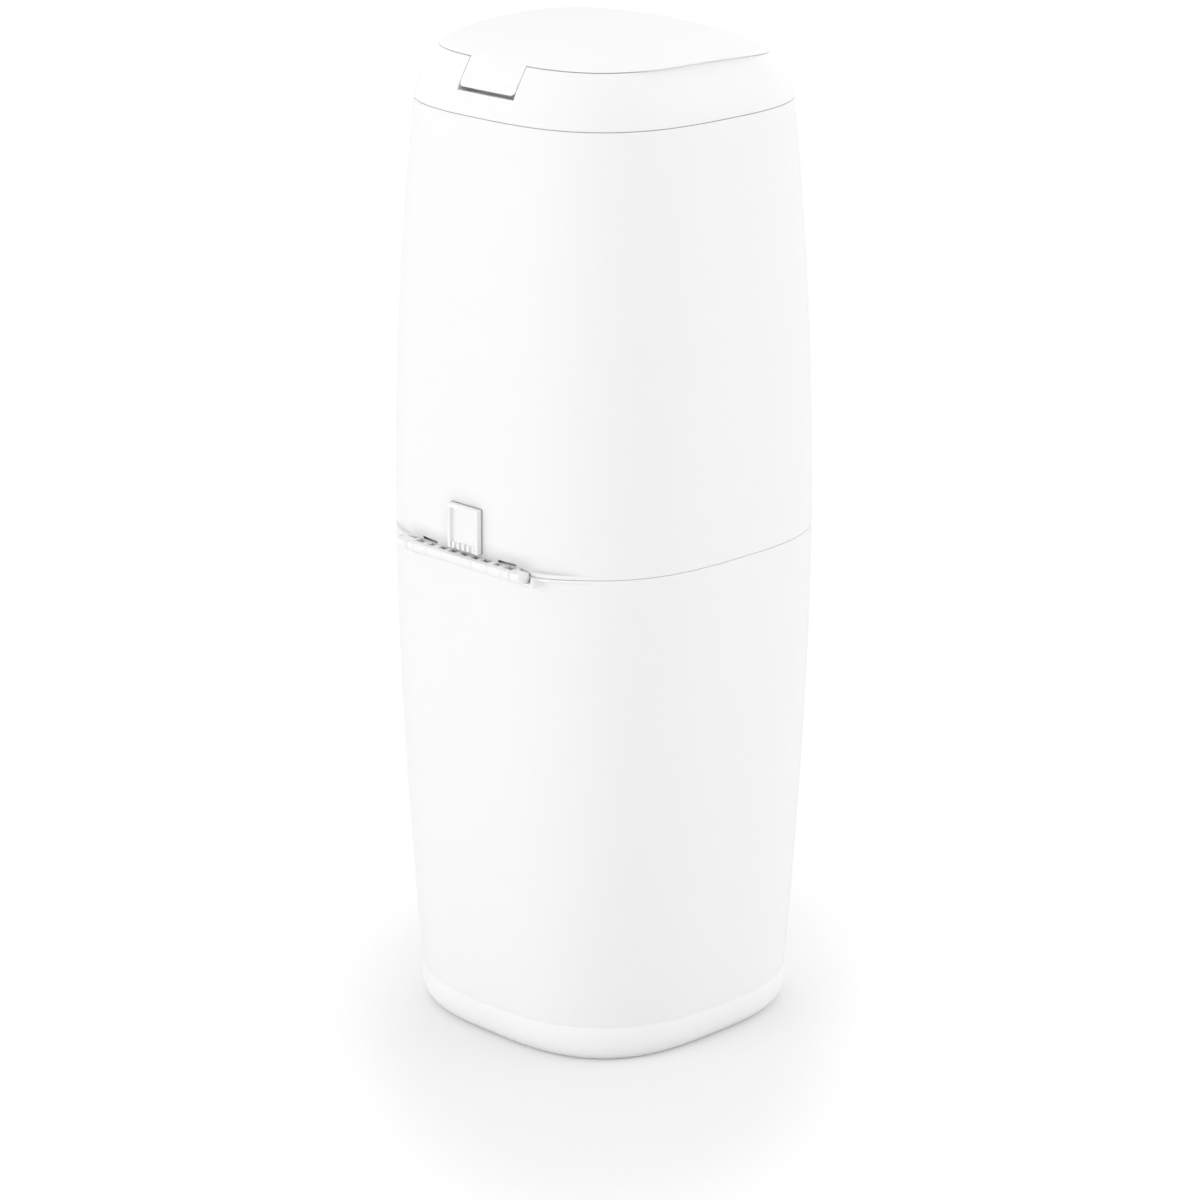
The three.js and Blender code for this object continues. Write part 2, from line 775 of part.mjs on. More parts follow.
function collar() {
  const low = shoulderHeight + seam / 2;
  const skirtHalf = bodyHalf(shoulderHeight) - shellWall - skirtGap;
  const rimTop = lidLineHeight - seam / 2;
  const stepHalf = lidLineHalf - rimWidth;
  const dropZ = mouthStepTop - mouthDrop;
  const rings = [
    shoulderRing(skirtHalf, low - skirtDepth, 0),
    shoulderRing(skirtHalf, low, 0),
  ];
  riseShares.forEach((share, index) => {
    const rise = mix(seam / 2, collarRise - seam / 2, share);
    rings.push(shoulderRing(collarHalf(rise), shoulderHeight + rise, scoopDepth * scoopShares[index]));
  });
  rings.push(shoulderRing(stepHalf, rimTop, scoopDepth));
  rings.push(shoulderRing(stepHalf, mouthStepTop, scoopDepth));
  rings.push(shoulderRing(mouthHalf, mouthStepTop, 0));
  rings.push(shoulderRing(mouthHalf, dropZ, 0));
  rings.push(shoulderRing(mouthHalf + trimWall, dropZ, 0));
  rings.push(shoulderRing(mouthHalf + trimWall, mouthStepTop - trimWall, 0));
  rings.push(shoulderRing(stepHalf - scoopDepth, mouthStepTop - trimWall, 0));
  innerRiseShares.forEach((share) => {
    const rise = collarRise * share;
    const inset = shellWall + skirtGap + trimWall * (1 - share);
    rings.push(shoulderRing(collarHalf(rise) - inset, shoulderHeight + rise, 0));
  });
  rings.push(shoulderRing(skirtHalf - trimWall, low - skirtDepth, 0));
  const shell = solidOf(loft(rings, true));
  return fitHingePocket(shell);
}

function fitHingePocket(shell) {
  const roomHalf = tongueHalf + tongueSideGap;
  const boxHalf = roomHalf + pocketSide;
  const frontY = lidPivotY - pocketFront;
  const floorZ = lidPivotZ - pocketDrop;
  const tipEdge = tongueTip - tongueTipGap;
  const roomBack = collarHalf(tipEdge - shoulderHeight) - trimWall;
  const roomTop = lidLineHeight + overrun;
  const roomXs = [-roomHalf, roomHalf];
  const boxZs = [floorZ - trimWall, mouthStepTop];
  const box = block([-boxHalf, boxHalf], [frontY - trimWall, waistHalf], boxZs);
  const walls = box.intersect(shoulderEnvelope(-trimWall / 2));
  const room = block(roomXs, [frontY, roomBack], [floorZ, roomTop]);
  const mouth = block(roomXs, [frontY, waistHalf], [tipEdge, roomTop]);
  const boreXs = [-boxHalf - overrun, boxHalf + overrun];
  const bore = barX(lidPinRadius + seat, boreXs, lidPivotY, lidPivotZ, pinSteps);
  return cutBy(joined(shell, walls), room, mouth, bore);
}

function lidCover() {
  const edge = lidLineHeight + seam / 2;
  const edgeRing = (inset) => {
    return ring(lidLineHalf - inset, lidLinePower, edge, outerSteps, (point) => dip(point, edge));
  };
  const inner = crownRings(-trimWall, seam / 2, crownInnerShares).reverse();
  const rings = [...inner, edgeRing(trimWall), edgeRing(0), ...crownRings(0, seam / 2, crownShares)];
  const dome = solidOf(loft(rings, false));
  const envelope = shoulderEnvelope(0);
  const tipHalf = collarHalf(tongueTip - shoulderHeight);
  const innerEdge = lidLineHalf - trimWall;
  const middleZ = mix(tongueTip, edge, tongueBendShare);
  const middleHalf = collarHalf(middleZ - shoulderHeight) - tongueWall;
  const outline = [
    [waistHalf, tongueTip],
    [waistHalf, edge + trimWall],
    [innerEdge, edge + trimWall],
    [innerEdge, edge],
    [middleHalf, middleZ],
    [tipHalf - tongueWall, tongueTip],
  ];
  const span = [-tongueHalf, tongueHalf];
  const tongue = prismX(outline, span).intersect(envelope);
  const lug = barX(lidLugRadius, span, lidPivotY, lidPivotZ, roundSteps);
  const boreSpan = [-tongueHalf - overrun, tongueHalf + overrun];
  const bore = barX(lidPinRadius + seat, boreSpan, lidPivotY, lidPivotZ, pinSteps);
  return cutBy(joined(dome, tongue, lug), bore);
}

function lidRow(half, height) {
  return ring(half, lidLinePower, height, coreSteps, (point) => dip(point, height));
}

function lidLiner() {
  const low = lidLineHeight + seam;
  const high = low + linerThick;
  const edge = lidLineHalf - trimWall - linerGap;
  const middles = linerShares.map((share) => sealHalf * share);
  const under = [...middles, sealHalf - sealWidth, edge].map((half) => lidRow(half, low));
  const over = [edge - linerBevel, ...middles.reverse()].map((half) => lidRow(half, high));
  return solidOf(loft([...under, ...over], false));
}

function lidSeal() {
  const high = lidLineHeight + seam - seat;
  const low = mouthStepTop + seat;
  const inner = sealHalf - sealWidth;
  const rows = [lidRow(sealHalf, low), lidRow(sealHalf, high), lidRow(inner, high), lidRow(inner, low)];
  return solidOf(loft(rows, true));
}

function lidPin() {
  const half = tongueHalf + tongueSideGap + pocketSide - seat;
  return barX(lidPinRadius, [-half, half], lidPivotY, lidPivotZ, pinSteps);
}

function coreRing(half, height) {
  return ring(half, corePower, height, coreSteps);
}

function cassetteTray() {
  const flangeHalf = bodyHalf(trayFlangeLow) - shellWall - skirtGap;
  const skirtLow = bayTop - throatLip;
  const skirtOuter = throatHalf + trimWall;
  const rings = [
    coreRing(skirtOuter, skirtLow),
    coreRing(skirtOuter, trayFloorLow),
    coreRing(trayHalf + trimWall, trayFloorLow),
    coreRing(trayHalf + trimWall, trayFlangeLow),
    ring(flangeHalf, shoulderPower, trayFlangeLow, coreSteps),
    ring(flangeHalf, shoulderPower, trayTop, coreSteps),
    coreRing(trayHalf, trayTop),
    coreRing(trayHalf, trayFloorTop),
    coreRing(throatHalf, trayFloorTop),
    coreRing(throatHalf, skirtLow),
  ];
  const holeTop = screwUnder + screwDepth - screwHead + seat;
  const holes = screwPlaces().map(([x, y]) => {
    return barZ(screwRadius + seat, x, y, [trayFloorLow - overrun, holeTop], pinSteps);
  });
  return cutBy(solidOf(loft(rings, true)), ...holes);
}

function cassetteBody() {
  const low = cassetteLow;
  const high = low + cassetteHeight;
  const floor = low + cassetteWall;
  return solidOf(loft([
    coreRing(cassetteHalf, low),
    coreRing(cassetteHalf, high),
    coreRing(cassetteHalf - cassetteWall, high),
    coreRing(cassetteHalf - cassetteWall, floor),
    coreRing(cassetteCoreHalf + cassetteWall, floor),
    coreRing(cassetteCoreHalf + cassetteWall, coreTop),
    coreRing(cassetteCoreHalf, coreTop),
    coreRing(cassetteCoreHalf, low),
  ], true));
}

function cassetteCover() {
  const low = coverLow;
  const high = low + coverThick;
  const skirt = low - coverSkirt;
  return solidOf(loft([
    coreRing(cassetteHalf, low),
    coreRing(cassetteHalf, high),
    coreRing(cassetteCoreHalf, high),
    coreRing(cassetteCoreHalf, skirt),
    coreRing(cassetteCoreHalf + cassetteWall, skirt),
    coreRing(cassetteCoreHalf + cassetteWall, low),
  ], true));
}

function filmPack() {
  const low = cassetteLow + cassetteWall + seat;
  const high = coreTop - filmDrop;
  const outer = cassetteHalf - cassetteWall - filmGap;
  const inner = cassetteCoreHalf + cassetteWall + filmGap;
  return solidOf(loft([
    coreRing(outer, low),
    coreRing(outer, high),
    coreRing(inner, high),
    coreRing(inner, low),
  ], true));
}

function screwPlaces() {
  return cornerNames.map(([, x, y]) => [x * screwX, y * screwY]);
}

function jawHousing() {
  const xs = [-housingHalfX, housingHalfX];
  const box = block(xs, [-housingHalfY, housingHalfY], [housingLow, housingTop]);
  const bay = block([-bayHalfX, bayHalfX], [-bayHalfY, bayHalfY], [housingLow + trimWall, bayTop]);
  const holeHalf = throatHalf + trimWall + seat;
  const holeHeights = [bayTop - overrun, housingTop + overrun];
  const topHole = solidOf(loft(holeHeights.map((height) => coreRing(holeHalf, height)), false));
  const bottomHalfY = jawHalfY - jawLedge;
  const bottomZs = [housingLow - overrun, housingLow + trimWall + overrun];
  const bottomHole = block([-throatHalf, throatHalf], [-bottomHalfY, bottomHalfY], bottomZs);
  let solid = cutBy(box, bay, topHole, bottomHole);
  screwPlaces().forEach(([x, y]) => {
    const way = Math.sign(y);
    const tabYs = [way * (housingHalfY - trimWall), way * (housingHalfY + tabReach)].sort((a, b) => a - b);
    const tab = block([x - tabHalf, x + tabHalf], tabYs, [bayTop, housingTop]);
    const hole = barZ(screwRadius + seat, x, y, holeHeights, pinSteps);
    solid = cutBy(joined(solid, tab), hole);
  });
  return solid;
}

function housingScrew() {
  const headLow = screwUnder - screwHead;
  const head = barZ(screwHeadRadius, 0, 0, [headLow, screwUnder], pinSteps);
  const shank = barZ(screwRadius, 0, 0, [headLow + screwHead / 2, headLow + screwDepth], pinSteps);
  return joined(head, shank);
}

// Wedge-shaped jaw with two spring ears; side is +1 or -1 along X.
function jaw(side) {
  const nose = jawGap / 2 + lipThick + seat;
  const outline = new THREE.Shape();
  const at = (x, rise) => [side * x, jawLow + rise];
  outline.moveTo(...at(nose, 0));
  outline.lineTo(...at(nose, jawNose));
  outline.lineTo(...at(nose + jawNoseRun, jawNose + jawNoseRun / 2));
  outline.lineTo(...at(jawReach, jawShoulder));
  outline.lineTo(...at(jawReach, 0));
  const wedge = prismY(outline, [-jawHalfY, jawHalfY]);
  const heelXs = side > 0 ? [jawReach - earThick, jawReach] : [-jawReach, earThick - jawReach];
  const heel = block(heelXs, [-jawHalfY, jawHalfY], [jawLow, jawLow + jawHeel]);
  const earXs = side > 0 ? [earX, earX + earThick] : [-earX - earThick, -earX];
  const earTop = jawLow + jawShoulder;
  const ears = block(earXs, [-jawHalfY - earWidth, jawHalfY + earWidth], [jawLow, earTop]);
  return joined(wedge, heel, ears);
}

function jawLip(side) {
  const inner = jawGap / 2;
  const outer = inner + lipThick;
  const xs = side > 0 ? [inner, outer] : [-outer, -inner];
  return block(xs, [lipTrim - jawHalfY, jawHalfY - lipTrim], [jawLow + seat, jawLow + jawNose]);
}

// One unbroken helix from z = 0 to its length, and the least gap it leaves to itself.
function spring(name, length, radius, wire, curls) {
  const stepsPerCurl = 8;
  const sides = 5;
  const run = length - 2 * wire;
  const count = stepsPerCurl * curls;
  const corners = [];
  const faces = [];
  const middles = [];
  for (let step = 0; step <= count; step += 1) {
    const turn = (2 * Math.PI * step) / stepsPerCurl;
    const outward = new THREE.Vector3(Math.cos(turn), Math.sin(turn), 0);
    const middle = outward.clone().multiplyScalar(radius - wire);
    middle.z = wire + (run * step) / count;
    middles.push(middle);
    for (let side = 0; side < sides; side += 1) {
      const lean = (2 * Math.PI * side) / sides;
      const corner = middle.clone().addScaledVector(outward, wire * Math.cos(lean));
      corner.z += wire * Math.sin(lean);
      corners.push(corner);
    }
  }
  for (let step = 0; step < count; step += 1) {
    for (let side = 0; side < sides; side += 1) {
      const next = (side + 1) % sides;
      const here = step * sides;
      const there = here + sides;
      faces.push(here + side, there + next, here + next);
      faces.push(here + side, there + side, there + next);
    }
  }
  for (let side = 1; side < sides - 1; side += 1) {
    const last = count * sides;
    faces.push(0, side, side + 1);
    faces.push(last, last + side + 1, last + side);
  }
  let least = Infinity;
  middles.forEach((middle, index) => {
    middles.slice(index + stepsPerCurl / 2).forEach((other) => {
      least = Math.min(least, middle.distanceTo(other) - 2 * wire);
    });
  });
  findings.push(`${name}: least gap of the coil to itself ${least.toFixed(2)} mm`);
  return solidOf(meshGeometry(corners, faces));
}

function cutterHousing() {
  const top = housingLow - seat;
  const low = top - cutterHeight;
  const xs = [cutterX, cutterX + cutterLength];
  const body = block(xs, [-cutterWidth / 2, cutterWidth / 2], [low, top]);
  const slotXs = [xs[0] - overrun, xs[1] + overrun];
  const slot = block(slotXs, [-cutterSlot / 2, cutterSlot / 2], [low - overrun, low + cutterSlotDepth]);
  return cutBy(body, slot);
}

function cutterBlade() {
  const top = housingLow - seat - cutterHeight + cutterSlotDepth - seat;
  const middle = cutterX + cutterLength / 2;
  const shape = new THREE.Shape();
  shape.moveTo(middle - bladeLength / 2, top);
  shape.lineTo(middle - bladeLength / 4, top - bladeHeight);
  shape.lineTo(middle + bladeLength / 2, top - bladeHeight / 2);
  shape.lineTo(middle + bladeLength / 2, top);
  return prismY(shape, [-bladeThick / 2, bladeThick / 2]);
}

function releaseButton() {
  const capShape = roundedShape(buttonHalf, buttonHeight, buttonCorner, buttonZ);
  const cap = prismY(capShape, [buttonFace, flangeBack]);
  const flangeHeight = buttonHeight + 2 * buttonEdge;
  const flangeShape = roundedShape(buttonHalf + buttonEdge, flangeHeight, buttonCorner, buttonZ);
  const inside = bodyEnvelope(buttonZ - flangeHeight, buttonZ + flangeHeight, -shellWall - seat, 0);
  const flange = prismY(flangeShape, [flangeFront - overrun, flangeBack]).intersect(inside);
  const stem = barY(stemRadius, 0, [flangeBack - buttonFlange / 2, latchFront - seat], buttonZ, pinSteps);
  return joined(cap, flange, stem);
}

function latchBracket() {
  const low = splitHeight + bracketBase;
  const body = block([-bracketHalf, bracketHalf], [frontInside - overrun, bracketBack], [low, bracketTop]);
  const inner = bracketHalf - trimWall;
  const roomYs = [frontInside - overrun * 2, bracketBack - trimWall];
  const room = block([-inner, inner], roomYs, [low - overrun, bracketTop - trimWall]);
  const wall = bodyEnvelope(low - overrun, bracketTop + overrun, -shellWall - seat, 0);
  const boreXs = [-bracketHalf - overrun, bracketHalf + overrun];
  const bore = barX(latchPinRadius + seat, boreXs, latchPivotY, latchPivotZ, pinSteps);
  return cutBy(body.intersect(wall), room, bore);
}

function latchPin() {
  const half = bracketHalf - seat;
  return barX(latchPinRadius, [-half, half], latchPivotY, latchPivotZ, pinSteps);
}

function latchHook() {
  const xs = [-latchHalf, latchHalf];
  const bossXs = [-latchBossHalf, latchBossHalf];
  const arm = block(xs, [latchFront, latchBack], [latchLow, latchPivotZ]);
  const boss = barX(latchBossRadius, bossXs, latchPivotY, latchPivotZ, roundSteps);
  const nose = block(xs, [catchEdge + noseGap, latchBack], [latchLow, latchLow + noseHeight]);
  const boreSpan = [-latchBossHalf - overrun, latchBossHalf + overrun];
  const bore = barX(latchPinRadius + seat, boreSpan, latchPivotY, latchPivotZ, pinSteps);
  return cutBy(joined(arm, boss, nose), bore);
}

function catchPlate() {
  const low = latchLow + noseHeight + catchGap;
  const high = low + catchThick;
  const body = block([-catchHalf, catchHalf], [catchFace - overrun, catchEdge], [low, high]);
  const heights = [low - overrun, high + overrun];
  const rings = heights.map((height) => ringAt(height, lipInnerInset + seat));
  return body.intersect(solidOf(loft(rings, false)));
}

function finish(colour, roughness, metalness) {
  return new THREE.MeshStandardMaterial({ color: colour, roughness, metalness });
}

const shellWhite = finish(0xf4f5f5, 0.45, 0);
const innerGrey = finish(0xc9cdd1, 0.55, 0);
const softGrey = finish(0x6b7076, 0.85, 0);
const padGrey = finish(0x8d9094, 0.9, 0);
const steel = finish(0xb9bdc1, 0.3, 0.9);
const cassetteBlue = finish(0xdfe8ee, 0.5, 0);
const filmTint = finish(0xd5e3ea, 0.4, 0);

function add(group, name, solid, material) {
  const mesh = new THREE.Mesh(geometryOf(solid), material.clone());
  mesh.name = name;
  group.add(mesh);
  return mesh;
}

function makeBucket() {
  const bucket = new THREE.Group();
  add(bucket, "lower_shell", lowerShell(), shellWhite);
  add(bucket, "base_band", baseBand(), shellWhite);
  cornerNames.forEach(([name, x, y]) => {
    const pad = add(bucket, `base_pad_${name}`, basePad(), padGrey);
    pad.position.set(x * padOffset, y * padOffset, 0);
  });
  add(bucket, "body_hinge_pin", hingePin(), steel);
  add(bucket, "catch_plate", catchPlate(), innerGrey);
  return bucket;
}

function makeUpper() {
  const upper = new THREE.Group();
  add(upper, "upper_shell", upperShell(), shellWhite);
  add(upper, "collar", collar(), shellWhite);
  add(upper, "hinge_barrel", hingeBarrel(), shellWhite);
  add(upper, "stop_frame", stopFrame(), shellWhite);
  add(upper, "lid_hinge_pin", lidPin(), steel);
  add(upper, "cassette_tray", cassetteTray(), innerGrey);
  add(upper, "cassette_body", cassetteBody(), cassetteBlue);
  add(upper, "cassette_cover", cassetteCover(), cassetteBlue);
  add(upper, "film_pack", filmPack(), filmTint);
  add(upper, "jaw_housing", jawHousing(), innerGrey);
  cornerNames.forEach(([name, x, y]) => {
    const screw = add(upper, `housing_screw_${name}`, housingScrew(), steel);
    screw.position.set(x * screwX, y * screwY, 0);
  });
  add(upper, "cutter_housing", cutterHousing(), innerGrey);
  add(upper, "cutter_blade", cutterBlade(), steel);
  add(upper, "latch_bracket", latchBracket(), innerGrey);
  add(upper, "latch_pin", latchPin(), steel);
  return upper;
}

function makeLid() {
  const lid = new THREE.Group();
  add(lid, "lid_cover", lidCover(), shellWhite);
  add(lid, "lid_liner", lidLiner(), innerGrey);
  add(lid, "lid_seal", lidSeal(), softGrey);
  return lid;
}

function makeJaws() {
  const jaws = new THREE.Group();
  const length = bayHalfX - earX - earThick - 2 * seat;
  const springY = jawHalfY + earWidth / 2;
  const springZ = jawLow + jawSpringRise;
  [["left", -1], ["right", 1]].forEach(([name, side]) => {
    add(jaws, `jaw_${name}`, jaw(side), innerGrey);
    add(jaws, `jaw_lip_${name}`, jawLip(side), softGrey);
    [["front", -1], ["rear", 1]].forEach(([end, way]) => {
      const label = `jaw_spring_${name}_${end}`;
      const coil = spring(label, length, jawSpringRadius, jawSpringWire, jawSpringCurls);
      const mesh = add(jaws, label, coil, steel);
      mesh.rotation.y = (side * Math.PI) / 2;
      mesh.position.set(side * (earX + earThick + seat), way * springY, springZ);
    });
  });
  return jaws;
}

function makeButton() {
  const button = new THREE.Group();
  add(button, "release_button", releaseButton(), innerGrey);
  add(button, "latch_hook", latchHook(), innerGrey);
  const length = bracketBack - trimWall - flangeBack - 2 * seat;
  [["left", -1], ["right", 1]].forEach(([name, side]) => {
    const label = `button_spring_${name}`;
    const coil = spring(label, length, buttonSpringRadius, buttonSpringWire, buttonSpringCurls);
    const mesh = add(button, label, coil, steel);
    mesh.rotation.x = -Math.PI / 2;
    mesh.position.set(side * buttonSpringX, flangeBack + seat, buttonZ);
  });
  return button;
}

const bin = new THREE.Group();
bin.add(makeBucket(), makeUpper(), makeLid(), makeJaws(), makeButton());
findings.forEach((finding) => console.log(finding));

export default bin;
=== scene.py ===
import json
import math
from collections import namedtuple

import bmesh
import bpy
from bpy.props import FloatProperty, FloatVectorProperty, IntProperty, PointerProperty
from mathutils import Matrix, Vector


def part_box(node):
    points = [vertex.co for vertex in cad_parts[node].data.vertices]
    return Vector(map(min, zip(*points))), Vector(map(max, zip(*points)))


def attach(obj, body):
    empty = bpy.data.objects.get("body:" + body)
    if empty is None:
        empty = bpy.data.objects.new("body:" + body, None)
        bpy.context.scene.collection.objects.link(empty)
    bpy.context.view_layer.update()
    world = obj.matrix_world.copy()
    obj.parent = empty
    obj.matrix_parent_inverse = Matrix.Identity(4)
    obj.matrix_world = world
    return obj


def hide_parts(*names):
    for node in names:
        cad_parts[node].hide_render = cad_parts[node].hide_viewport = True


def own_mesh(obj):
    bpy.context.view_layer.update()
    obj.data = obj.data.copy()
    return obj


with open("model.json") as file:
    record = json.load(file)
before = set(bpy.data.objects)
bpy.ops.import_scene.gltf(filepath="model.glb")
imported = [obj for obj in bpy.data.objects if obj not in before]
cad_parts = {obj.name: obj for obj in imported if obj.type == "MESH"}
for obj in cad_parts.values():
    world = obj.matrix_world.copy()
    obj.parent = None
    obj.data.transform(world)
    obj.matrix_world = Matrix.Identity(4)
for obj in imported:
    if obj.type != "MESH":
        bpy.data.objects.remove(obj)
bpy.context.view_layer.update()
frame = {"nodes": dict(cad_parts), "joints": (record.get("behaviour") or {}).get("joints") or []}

bl_info = {
    "name": "Nappy bin",
    "version": (1, 0, 0),
    "blender": (4, 5, 0),
    "location": "View3D > Sidebar > Nappy bin",
    "description": "Moulded shells, hinge, lid, refill, jaws and latch of a tall nappy bin",
    "category": "Object",
}


def joint_named(name):
    return next(joint for joint in frame["joints"] if joint["name"] == name)


# In metres, as all sizes: the gap at a seam of the solids, and the room round a piece that fits in
SEAM = 0.0004
SEAT = 0.0003

# Heights and places that the frame gives
HINGE = Vector(joint_named("body_tilt")["pos_m"])
LID_HINGE = Vector(joint_named("lid_hinge")["pos_m"])
SPLIT = HINGE.z
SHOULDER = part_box("upper_shell")[1].z + SEAM / 2
BAND_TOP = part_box("base_band")[1].z + SEAM / 2
BUCKET_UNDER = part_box("lower_shell")[0].z
LID_LINE = SHOULDER + 0.0304

# The rounded square that each height of the bin is, by its half width and its power: 2 is round
WAIST_HALF = 0.111398
SWELL_SHARES = (1, 0.01056, -0.1039, -0.01842)
FOOT_HALF = 0.0887
BUCKET_FOOT = 0.094
FOOT_POWER = 2.97
BAND_POWER = 2.63
SPLIT_POWER = 2.873
SHOULDER_POWER = 2.876
LID_LINE_POWER = 3.13
CROWN_POWER = 2.42
CORE_POWER = 4.5
COLLAR_RISE = LID_LINE - SHOULDER
COLLAR_LEAN = 0.015
COLLAR_CURVE = 1.387
CROWN_RISE = 0.016
CROWN_UP_CURVE = 1.244
CROWN_OUT_CURVE = 3.135
CROWN_SHARES = (
    0.997, 0.985, 0.965, 0.94, 0.9, 0.85, 0.79, 0.72, 0.64, 0.55, 0.45, 0.35, 0.24, 0.13, 0.04
)

# Walls, seams and the roundings that more than one piece has
SHELL_WALL = 0.0026
TRIM_WALL = 0.0024
BAND_SEAM = 0.00004
SPLIT_SEAM = 0.00022
SHOULDER_SEAM = 0.0003
SEAM_SOFT = 0.00025
FILLET = 0.001
PIN_SOFT = 0.0003
SPIGOT_INSET = 0.0027
SKIRT_GAP = 0.0007

# Rims between the halves: the tongue that rises inside, and the lips outside
LIP_GAP = 0.0008
LIP_WALL = 0.0016
LIP_HEIGHT = 0.0055
LIP_ROOT = 0.008
LIP_BLEND = 0.005
FLARE_REACH = 0.0045
UPPER_LIP = 0.0023
LOWER_LIP = 0.0019
FLARE_BLEND = 0.0004
FLARE_SOFT = 0.0004
FLARE_ROOT_SOFT = 0.0005
PLAIN_START = 0.014

# Rear hinge
BARREL_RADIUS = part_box("hinge_barrel")[1].y - HINGE.y
BARREL_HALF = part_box("hinge_barrel")[1].x
LUG_INNER = BARREL_HALF + SEAT
LUG_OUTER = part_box("body_hinge_pin")[1].x
PIN_RADIUS = 0.0015
HINGE_FLAT = HINGE.z + 0.0022
END_SKIN = 0.0009
GROOVE_SHARES = (0.293, 0.585, 0.855)
WEB_SHARES = ((0.06, 0.159), (0.275, 0.351), (0.485, 0.591), (0.688, 0.797), (0.945, 1))
SLOT_SHARES = (0.594, 0.908)
REAR_FACE = HINGE.y - 0.0038

# Lid, its tongue and the mouth under it
DIP_DEPTH = 0.0106
SCOOP_DEPTH = 0.0025
TONGUE_HALF = 0.0225
TONGUE_TIP = LID_LINE - 0.0156
TONGUE_WALL = 0.0025
TONGUE_SIDE_GAP = 0.0006
TONGUE_TIP_GAP = 0.0023
POCKET_FRONT = LID_HINGE.y - 0.0062
POCKET_FLOOR = LID_HINGE.z - 0.0078
LID_PIN_RADIUS = 0.0016
MOUTH_HALF = 0.072
MOUTH_STEP = LID_LINE - SEAM / 2 - 0.002

# Refill, springs and button
THROAT_HALF = 0.046
PLEATS = 88
WIRE = 0.0005
END_CLOSENESS = 0.75
JAW_CURLS = 16
BUTTON_CURLS = 7
BUTTON_HALF = 0.022
BUTTON_TALL = 0.0077
BUTTON_CORNER = 0.005

# How finely shapes are made, and how far a cutter reaches past what it cuts
STEPS_ROUND = 192
CORE_STEPS = 128
BORE_SIDES = 32
ARC_STEPS = 4
EDGE_ANGLE = math.radians(32)
PAST = 0.005
UNIT = (-0.5, 0.5)

# The photograph's camera
CAMERA_PLACE = Vector((-1.7750, 1.7531, 1.0504))
CAMERA_TARGET = Vector((0.00165, 0.00167, 0.2537))
CAMERA_LENS = 131.3
CAMERA_END = 60.0
SENSOR_WIDTH = 36.0

# Soft lights in the sky: degrees left of the camera, degrees up, and how narrow
LEFT_LIGHT = (60, 0, 12.0)
RIGHT_LIGHT = (-90, 0, 6.0)
BACK_LIGHT = (180, 65, 12.0)

# The floor, and the painted shadow round the bin: its glow rises to white away from the bin,
# reaching farther towards the camera
FLOOR_REACH = 14.0
PAINTED_SHADOW_REACH = (0.106, 0.185)
PAINTED_SHADOW_STRETCH = 0.45
BLACK = (0.0, 0.0, 0.0, 1.0)
WHITE = (1.0, 1.0, 1.0, 1.0)

Row = namedtuple("Row", "half z power flare dip scoop pleat soft", defaults=(0.0,) * 5)
TREES = {}
MATERIALS = {}


class BinSizes(bpy.types.PropertyGroup):
    """Sizes that shape the visible pieces"""

    edge: FloatProperty(
        name="Edge softness", description="Radius of the moulded edges", default=0.0004,
        unit="LENGTH",
    )
    dip: FloatProperty(
        name="Front dip", description="How far the lid line falls at the front", default=DIP_DEPTH,
        unit="LENGTH",
    )
    scoop: FloatProperty(
        name="Finger scoop", description="Depth of the hollow under the lid's edge",
        default=SCOOP_DEPTH, unit="LENGTH",
    )
    flare: FloatProperty(
        name="Rim lips", description="How far the rims stand out beside the hinge",
        default=FLARE_REACH, unit="LENGTH",
    )
    pleats: IntProperty(
        name="Film pleats", description="Folds of film round the cassette", default=PLEATS
    )
    pleat: FloatProperty(
        name="Pleat depth", description="Depth of one fold of film", default=0.0009, unit="LENGTH"
    )


class BinFinish(bpy.types.PropertyGroup):
    """Colours of the finishes"""

    shell: FloatVectorProperty(
        name="Shell", description="White moulded plastic outside", default=(0.93, 0.932, 0.934),
        subtype="COLOR",
    )
    inner: FloatVectorProperty(
        name="Inside", description="Grey plastic of the parts inside", default=(0.55, 0.58, 0.61),
        subtype="COLOR",
    )
    button: FloatVectorProperty(
        name="Button", description="Plastic of the release button", default=(0.62, 0.65, 0.68),
        subtype="COLOR",
    )
    cassette: FloatVectorProperty(
        name="Cassette", description="Glossy plastic of the refill", default=(0.66, 0.78, 0.86),
        subtype="COLOR",
    )
    film: FloatVectorProperty(
        name="Film", description="Pleated film in the refill", default=(0.55, 0.72, 0.82),
        subtype="COLOR",
    )
    rubber: FloatVectorProperty(
        name="Rubber", description="Seal, jaw lips and pads", default=(0.06, 0.065, 0.07),
        subtype="COLOR",
    )
    steel: FloatVectorProperty(
        name="Steel", description="Pins, springs and screws", default=(0.62, 0.63, 0.64),
        subtype="COLOR",
    )


class BinStudio(bpy.types.PropertyGroup):
    """Light of the studio"""

    sky: FloatProperty(
        name="Sky", description="Level of the even light from all round", default=0.745
    )
    left: FloatProperty(
        name="Left", description="Level of the soft light on the left", default=3.4
    )
    right: FloatProperty(
        name="Right", description="Level of the soft light on the right", default=1.86
    )
    back: FloatProperty(
        name="Back", description="Level of the soft light high behind", default=1.25
    )
    glow: FloatProperty(
        name="Floor glow", description="Light that the camera sees in the floor", default=0.12
    )
    # Painted shadow on the floor: the extra glow away from the bin leaves the floor round it
    # darker.
    fade: FloatProperty(
        name="Floor fade", description="How much more of it there is away from the bin", default=0.1
    )
    floor: FloatVectorProperty(
        name="Floor", description="Pale floor", default=(0.85, 0.85, 0.85), subtype="COLOR"
    )


